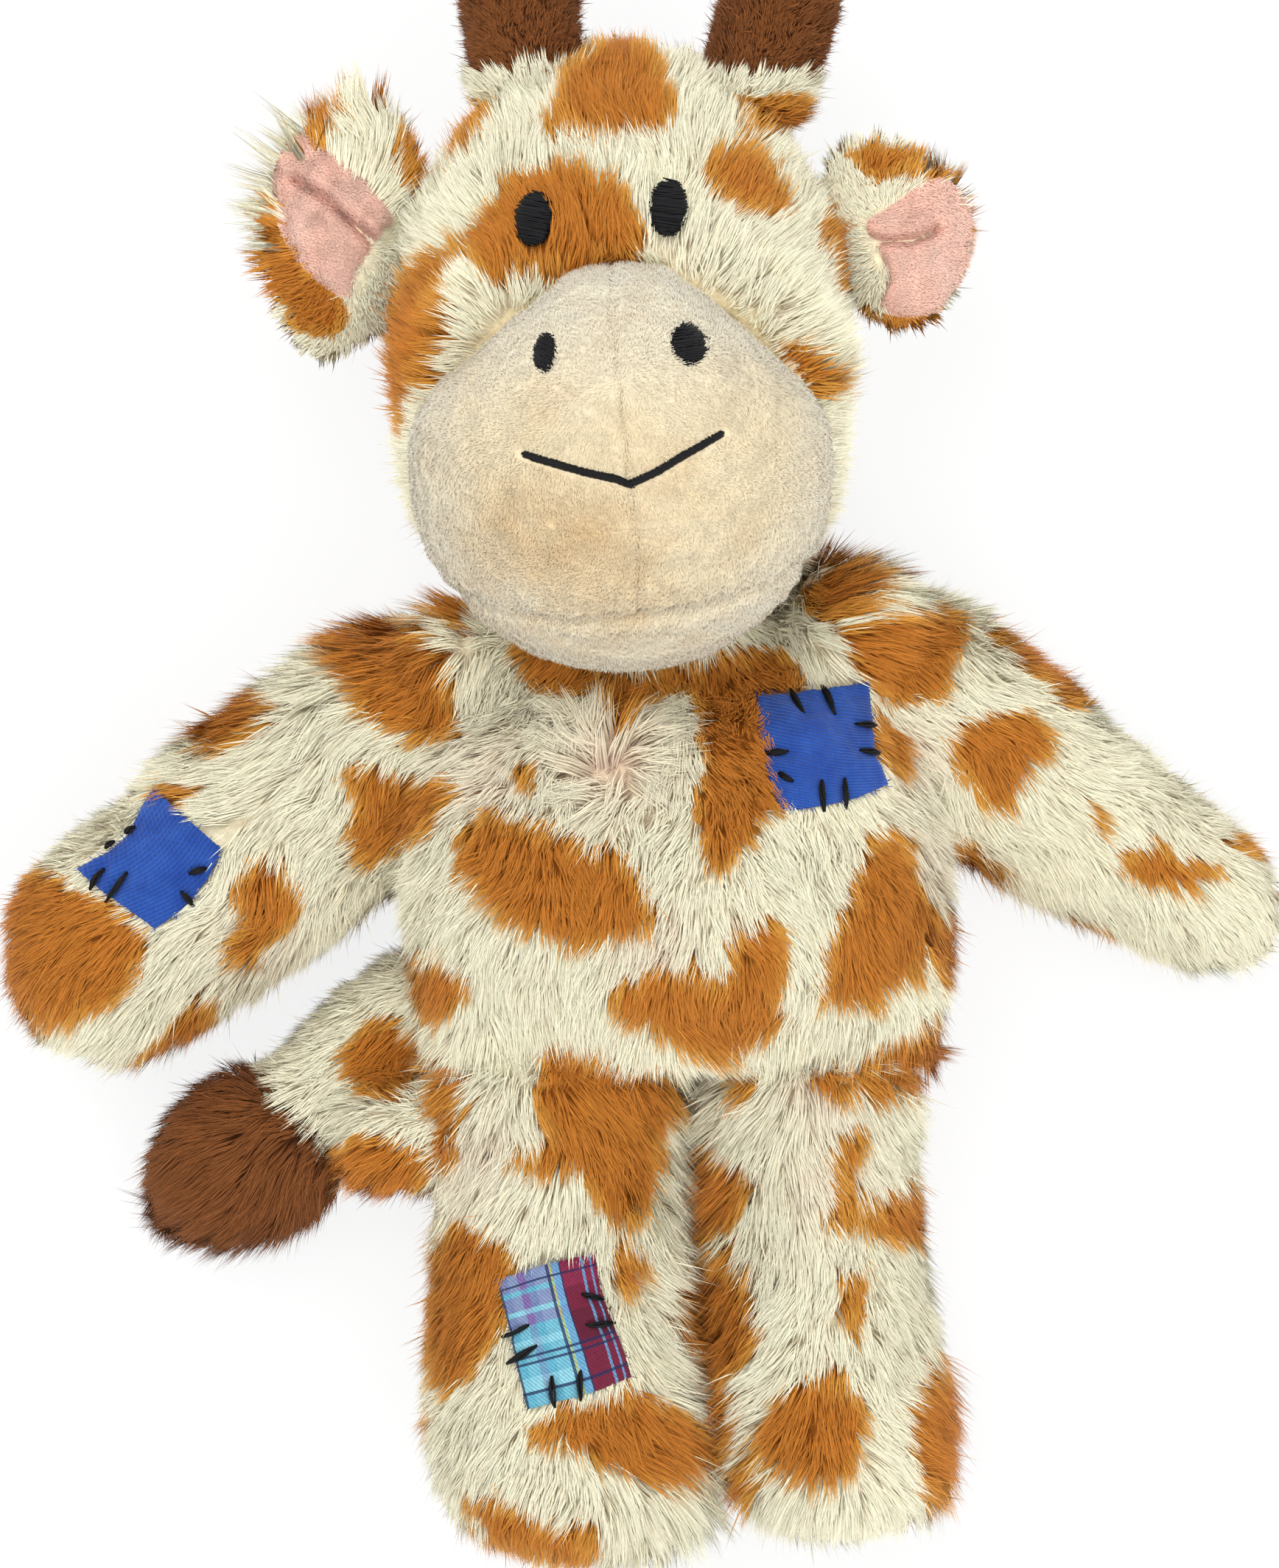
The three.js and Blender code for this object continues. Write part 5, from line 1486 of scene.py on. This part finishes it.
# The pink linings of the ears, each with a fold
def ear_lining(side, outline, fold, lips, seed):
    surface, faces = outer_surface([f"ear_{side}_outer", f"ear_{side}_lining"], 1.0, rounds=6)
    rings, sides = 35, 132
    ring = rounded(outline, 1)
    rim = along(np.vstack([ring, ring[:1]]), np.linspace(0, 1, sides + 1)[:-1])
    middle = rim.mean(axis=0)
    shares = np.linspace(0, 1, rings + 1)[1:] ** 0.85
    spread = middle + shares[:, None, None] * (rim - middle)[None]
    pixels = np.vstack([middle[None], spread.reshape(-1, 2)])
    co = on_surface(tree_of(surface, faces), pixels, 0.5)
    share = np.concatenate([[0], np.repeat(shares, sides)])
    tris = disc_faces(rings, sides)
    co[:, 2] = smooth(co[:, 2], tris, 45)
    gap = line_distance(fold, pixels) / PIXELS_PER_MM
    (ax, ay), (bx, by) = fold[0], fold[-1]
    above = ((pixels[:, 0] - ax) * (by - ay) - (pixels[:, 1] - ay) * (bx - ax)) > 0
    lip = np.where(above, lips[0], lips[1])
    co[:, 2] += lip * np.exp(-((gap - 2.4) / 1.9) ** 2) - 2.0 * np.exp(-(gap / 0.9) ** 2)
    co[:, 2] += 0.04 * waves(co, 3.6, seed) + 0.22 * waves(co, 9, seed + 1) - 1.5 * share ** 9
    if vertex_normals(co, tris)[:, 2].mean() < 0:
        tris = tris[:, ::-1]
    normals = smooth(vertex_normals(co, tris), tris, 2)

    def colours(points):
        where = picture(points)
        # a painted shade along the fold
        deep = np.exp(-(line_distance(fold, where) / PIXELS_PER_MM / 1.8) ** 2)[:, None] * 0.5
        pale = np.clip(0.35 + 0.15 * waves(points, 11, seed + 2), 0, 0.8)[:, None]
        base = EAR_PINK * (1 - pale) + EAR_PALE * pale
        return base * (1 - deep) + EAR_FOLD_SHADE * deep

    def comb(points):
        heading = math.radians(-28 if side == "right" else -12)
        return np.tile((math.cos(heading), math.sin(heading), 0.0), (len(points), 1))

    shell, faces = thickened(co, tris, normals, LINING_THICKNESS)
    # the lining under the pile is painted 0.92 times as light as the pile: painted shade under the pile
    piece = velour_object(f"ear_{side}_lining_velour", shell, faces, colours(shell) * 0.92)
    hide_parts(f"ear_{side}_lining")
    everywhere = np.ones(len(tris), bool)
    pile = short_pile(f"ear_{side}_lining_pile", co, tris, everywhere, LINING_PILE, colours, comb, seed + 3)
    for obj in (piece, pile):
        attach(obj, f"ear_{side}")


ear_lining("right", EAR_RIGHT_LINING, EAR_RIGHT_FOLD, (1.5, 0.5), 300)
ear_lining("left", EAR_LEFT_LINING, EAR_LEFT_FOLD, (1.2, 0.6), 320)

# The patches and their stitches; each stitch runs between two pixels of the photograph
STITCHES = {
    "chest_patch": [
        ((1071, 931), (1092, 969)), ((1114, 927), (1133, 967)), ((1164, 982), (1193, 984)),
        ((1170, 1018), (1197, 1023)), ((1036, 1023), (1071, 1019)), ((1056, 1048), (1076, 1060)),
        ((1116, 1057), (1119, 1100)), ((1147, 1054), (1148, 1098)),
    ],
    "arm_patch": [
        ((141, 1179), (121, 1208)), ((172, 1184), (142, 1225)), ((155, 1142), (142, 1152)),
        ((182, 1122), (168, 1131)), ((256, 1186), (280, 1178)), ((246, 1210), (264, 1231)),
    ],
    "leg_patch": [
        ((679, 1816), (719, 1798)), ((686, 1852), (728, 1827)), ((749, 1868), (753, 1911)),
        ((788, 1860), (788, 1902)), ((790, 1757), (821, 1764)), ((794, 1798), (837, 1796)),
    ],
}


def quilt(sides, columns, rows):
    """Pixels of a grid between the four sides of an outline."""
    u, v = np.linspace(0, 1, columns), np.linspace(0, 1, rows)
    top, bottom = along(sides["top"], u), along(sides["bottom"], u)
    left, right = along(sides["left"], v), along(sides["right"], v)
    a, b = u[None, :, None], v[:, None, None]
    grid = (1 - b) * top[None] + b * bottom[None] + (1 - a) * left[:, None] + a * right[:, None]
    upper = (1 - a) * (1 - b) * top[0] + a * (1 - b) * top[-1]
    return grid - (upper + (1 - a) * b * bottom[0] + a * b * bottom[-1])


def finer(grid, rows, columns):
    """A grid of points with more rows and columns, on smooth curves between the old ones."""
    for axis, count in ((0, rows), (1, columns)):
        old = np.linspace(0, 1, grid.shape[axis])
        new = np.linspace(0, 1, count)
        moved = np.moveaxis(grid, axis, 0)
        flat = moved.reshape(len(old), -1)
        flat = np.column_stack([np.interp(new, old, flat[:, i]) for i in range(flat.shape[1])])
        grid = np.moveaxis(flat.reshape((count,) + moved.shape[1:]), 0, axis)
    return grid


def evened(grid, rounds):
    """A grid of points with its interior smoothed and its edges kept in line."""
    for _ in range(rounds):
        padded = np.pad(grid, ((1, 1), (1, 1), (0, 0)), "reflect", reflect_type="odd")
        grid = (padded[:-2, 1:-1] + padded[2:, 1:-1] + padded[1:-1, :-2] + padded[1:-1, 2:]) / 4
    return grid


CLOTH_STEP = 0.17        # between the points of a patch, mm
LOOSE_YARNS = 90
STITCH_FIBRES = 13


def cloth_patch(name, body, sides, material, pitch, heading, seed):
    rng = np.random.default_rng(seed)
    tree = WHOLE["right"]["tree"]
    coarse = evened(on_surface(tree, quilt(sides, 25, 25), PATCH_LIFT), 6)
    width = np.linalg.norm(coarse[0, -1] - coarse[0, 0])
    height = np.linalg.norm(coarse[-1, 0] - coarse[0, 0])
    columns, rows = int(width / CLOTH_STEP), int(height / CLOTH_STEP)
    grid = evened(finer(coarse, rows, columns), 24)
    faces = grid_faces(rows, columns)
    flat = grid.reshape(-1, 3)
    normals = vertex_normals(flat, faces)
    if normals[:, 2].mean() < 0:
        faces = faces[:, ::-1]
        normals = -normals
    v, u = np.meshgrid(np.linspace(height, 0, rows), np.linspace(0, width, columns), indexing="ij")
    turn = math.radians(heading)
    phase = (u * math.cos(turn) - v * math.sin(turn)).ravel() * 2 * math.pi / pitch
    lift = 0.08 * np.sin(phase - math.pi / 2) + 0.18 * waves(flat, 13, seed) + 0.05 * waves(flat, 3, seed + 1)
    where = picture(flat)
    for start, end in STITCHES[name]:
        pull = line_distance([start, end], where) / PIXELS_PER_MM
        lift -= 0.55 * np.exp(-(pull / 1.5) ** 2)
    edge = np.minimum.reduce([u.ravel(), width - u.ravel(), v.ravel(), height - v.ravel()])
    lift -= 0.25 * np.exp(-(edge / 0.5) ** 2)
    top = flat + normals * lift[:, None]
    ragged = (edge < 0.01)[:, None] * rng.normal(0, 0.05, (len(top), 3))
    shell, faces = thickened(top + ragged, faces, normals, PATCH_THICKNESS)
    # loose yarns at the edges
    rim = np.flatnonzero(edge < 0.01)
    start = rng.choice(rim, LOOSE_YARNS)
    centre = flat.mean(axis=0)
    out = unit(unit(flat[start] - centre) + rng.normal(0, 0.6, (LOOSE_YARNS, 3)) * (1, 1, 0.3))
    t = np.linspace(0, 1, 5)[None, :, None]
    size = rng.uniform(0.4, 1.3, (LOOSE_YARNS, 1, 1))
    paths = top[start][:, None] - normals[start][:, None] * 0.3 + out[:, None] * t * size
    paths += normals[start][:, None] * (0.3 * t ** 2 * size)
    yarns = tubes(paths, np.full((LOOSE_YARNS, 5), 0.07), 4)
    co, all_faces = joined((shell, faces), yarns)
    mesh = mesh_from(name + "_cloth", co, all_faces, True)
    shares = np.column_stack([(u / width).ravel(), (v / height).ravel()])
    sized = np.column_stack([u.ravel(), v.ravel()]) / 10
    for title, layer in (("Weave", sized), ("Share", shares)):
        full = np.vstack([layer, layer, np.repeat(layer[start], len(yarns[0]) // LOOSE_YARNS, axis=0)])
        uv = mesh.uv_layers.new(name=title)
        uv.data.foreach_set("uv", full[all_faces.ravel()].astype(np.float32).ravel())
    piece = new_object(name + "_cloth", mesh, material)
    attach(piece, body)
    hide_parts(name)
    # stitches: bundles of twisted fibres over the edge
    bundles = []
    for begin, end in STITCHES[name]:
        t = np.linspace(0, 1, 15)
        pixels = np.array(begin)[None] * (1 - t[:, None]) + np.array(end)[None] * t[:, None]
        base = on_surface(tree, pixels, PATCH_LIFT)
        base[:, 2] = np.interp(t, [0, 0.5, 1], base[[0, 7, 14], 2])
        course = unit(base[-1] - base[0])
        side = unit(np.cross(course, (0.0, 0.0, 1.0)))
        up = np.cross(side, course)
        base = base + up * (1.0 * np.sin(math.pi * t) ** 0.7 - 0.75)[:, None]
        base += side * (rng.normal(0, 0.12) * np.sin(math.pi * t))[:, None]
        fibres = STITCH_FIBRES
        around = rng.uniform(0, 2 * math.pi, (fibres, 1)) + t * rng.uniform(1.4, 2.4)
        spread = np.sqrt(rng.uniform(0.15, 1, (fibres, 1))) * 0.62
        spread = spread * np.sin(math.pi * np.clip(t, 0.04, 0.96)) ** 0.5
        paths = base[None] + (np.cos(around) * spread)[..., None] * side
        paths = paths + (np.sin(around) * spread)[..., None] * up
        paths += rng.normal(0, 0.03, paths.shape)
        bundles.append(tubes(paths, np.full((fibres, 15), 0.19) * (0.6 + 0.4 * np.sin(math.pi * t)), 5))
    co, faces = joined(*bundles)
    stitches = new_object(name + "_stitches", mesh_from(name + "_stitches", co, faces, True), THREAD)
    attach(stitches, body)


cloth_patch("chest_patch", "torso", CHEST_PATCH, BLUE_TWILL, CHEST_PITCH, 110, 400)
cloth_patch("arm_patch", "arm_right", ARM_PATCH, ARM_TWILL, ARM_PITCH, 123, 420)
cloth_patch("leg_patch", "leg_right", LEG_PATCH, PLAID, PLAID_PITCH, 40, 440)


# The embroidery
def satin_oval(place, tree, depth, dome, ragged, slant, seed):
    """An oval filled with threads laid across it in two layers, over a pad that reaches what carries it."""
    x, y, width, height, lean = place
    rng = np.random.default_rng(seed)
    c, s = math.cos(math.radians(lean)), math.sin(math.radians(lean))
    meshes = []
    for layer, extra in ((0, 0.0), (1, 0.16)):
        rows = int(height / PIXELS_PER_MM / THREAD_SPACING)
        v = np.linspace(-0.985, 0.985, rows) + rng.normal(0, 0.01, rows)
        half = np.sqrt(np.clip(1 - v ** 2, 0.0, 1)) * (1 + rng.normal(0, ragged, rows)) + 0.02
        t = np.linspace(-1, 1, 13)
        a = half[:, None] * t[None] * width / 2
        leaning = (t[None] * slant + rng.normal(0, 1.2, (rows, 1))) * (1 if layer else -1)
        b = v[:, None] * height / 2 + leaning
        pixels = np.stack([x + a * c - b * s, y + a * s + b * c], axis=-1)
        within = np.clip(1 - (v[:, None] ** 2 + (half[:, None] * t[None]) ** 2), 0, 1)
        lift = dome * np.sqrt(within) - 0.5 * np.abs(t[None]) ** 8 + extra + rng.normal(0, 0.05, (rows, 1))
        paths = on_surface(tree, pixels, lift)
        meshes.append(tubes(paths, np.full((rows, 13), THREAD_RADIUS) * rng.uniform(0.85, 1.1, (rows, 1)), 5))
    rings, sides = 8, 40
    rim = oval(x, y, width * 0.97, height * 0.97, lean, sides)
    shares = np.linspace(0, 1, rings + 1)[1:]
    pixels = np.vstack([[(x, y)], ((x, y) + shares[:, None, None] * (rim - (x, y))[None]).reshape(-1, 2)])
    within = np.concatenate([[1], np.repeat(1 - shares ** 2, sides)])
    top = on_surface(tree, pixels, dome * np.sqrt(within) - 0.15)
    faces = disc_faces(rings, sides)
    if vertex_normals(top, faces)[:, 2].mean() < 0:
        faces = faces[:, ::-1]
    meshes.append(thickened(top, faces, np.tile((0.0, 0.0, 1.0), (len(top), 1)), depth))
    return meshes


def embroidery(name, meshes):
    co, faces = joined(*meshes)
    piece = new_object(name + "_stitched", mesh_from(name + "_stitched", co, faces, True), THREAD)
    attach(piece, "head")
    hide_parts(name)


THREAD_SPACING = 0.23    # between the threads of an eye or a nostril, mm
for number, (name, place) in enumerate(EYES.items()):
    meshes = satin_oval(place, WHOLE["right"]["tree"], 3.4, 0.9, 0.05, 1.5, 500 + number)
    embroidery(name, meshes)
for number, (name, place) in enumerate(NOSTRILS.items()):
    meshes = satin_oval(place, MUZZLE["tree"], 1.6, 1.2, 0.12, 4.0, 520 + number)
    if name == "nostril_left":
        turn = np.linspace(0.2, 5.6, 22)
        pixels = np.column_stack([958 + 7 * np.cos(turn), 466 + 9 * np.sin(turn)])
        loop = on_surface(MUZZLE["tree"], pixels, 0.5 + 0.5 * np.sin(turn / 2))[None]
        meshes.append(tubes(loop, np.full((1, 22), 0.16), 5))
    embroidery(name, meshes)

rng = np.random.default_rng(540)
length = float(np.linalg.norm(np.diff(np.array(MOUTH, float), axis=0), axis=1).sum())
count = int(length / PIXELS_PER_MM / 0.2)
shares = np.linspace(0, 1, count)
spine = along(MOUTH, shares)
way = unit(np.gradient(along(MOUTH, np.clip(shares, 0.01, 0.99)), axis=0))
slanted = np.column_stack([way[:, 0] * 0.8 - way[:, 1] * 0.6, way[:, 0] * 0.6 + way[:, 1] * 0.8])
t = np.linspace(-1, 1, 7)
reach = 8.0 * np.clip(np.minimum(shares, 1 - shares) * 30, 0.45, 1) * rng.uniform(0.85, 1.1, count)
pixels = spine[:, None] + slanted[:, None] * (t[None] * reach[:, None])[..., None]
lift = 1.1 * np.sqrt(1 - t[None] ** 2 * 0.98) - 0.1 + rng.normal(0, 0.05, (count, 1))
threads = tubes(on_surface(MUZZLE["tree"], pixels, lift), np.full((count, 7), THREAD_RADIUS), 5)
core = on_surface(MUZZLE["tree"], along(MOUTH, np.linspace(0.01, 0.99, 90)), 0.2)[None]
embroidery("mouth", [threads, tubes(core, np.full((1, 90), 0.62), 8)])

# The fillings inside, and the squeaker
FILLINGS = {
    "torso_filling_front": "torso", "torso_filling_back": "torso", "head_filling": "head",
    "muzzle_filling": "head", "horn_right_filling": "horn_right", "horn_left_filling": "horn_left",
    "arm_right_filling": "arm_right", "arm_left_filling": "arm_left", "leg_right_filling": "leg_right",
    "leg_left_filling": "leg_left", "tail_filling": "tail",
}
for number, (node, region) in enumerate(FILLINGS.items()):
    small = node.startswith(("horn", "tail"))
    co, tris = outer_surface([node], 1.5 if small else 3.0, rounds=5)
    away, _ = nearest(WHOLE["left" if region == "leg_left" else "right"], co)
    clear = 3.6 if node.startswith("horn") else 4.0 if node == "muzzle_filling" else 7.6
    deeper = smooth(np.clip(clear - away, 0, 4), tris, 3)
    normals = smooth(vertex_normals(co, tris), tris, 3)
    lumps = 0.5 + 0.5 * waves(co, 12, 600 + number) + 0.25 * waves(co, 4, 620 + number)
    co = co - normals * (deeper + 0.25 * np.clip(lumps, 0, 2))[:, None]
    piece = new_object(node + "_fibre", mesh_from(node + "_fibre", co, tris, True), FILL)
    carry(piece, region)
    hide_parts(node)

for node in ("squeaker_base", "squeaker_dome", "squeaker_reed"):
    for material_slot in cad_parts[node].material_slots:
        material_slot.material = PLASTIC
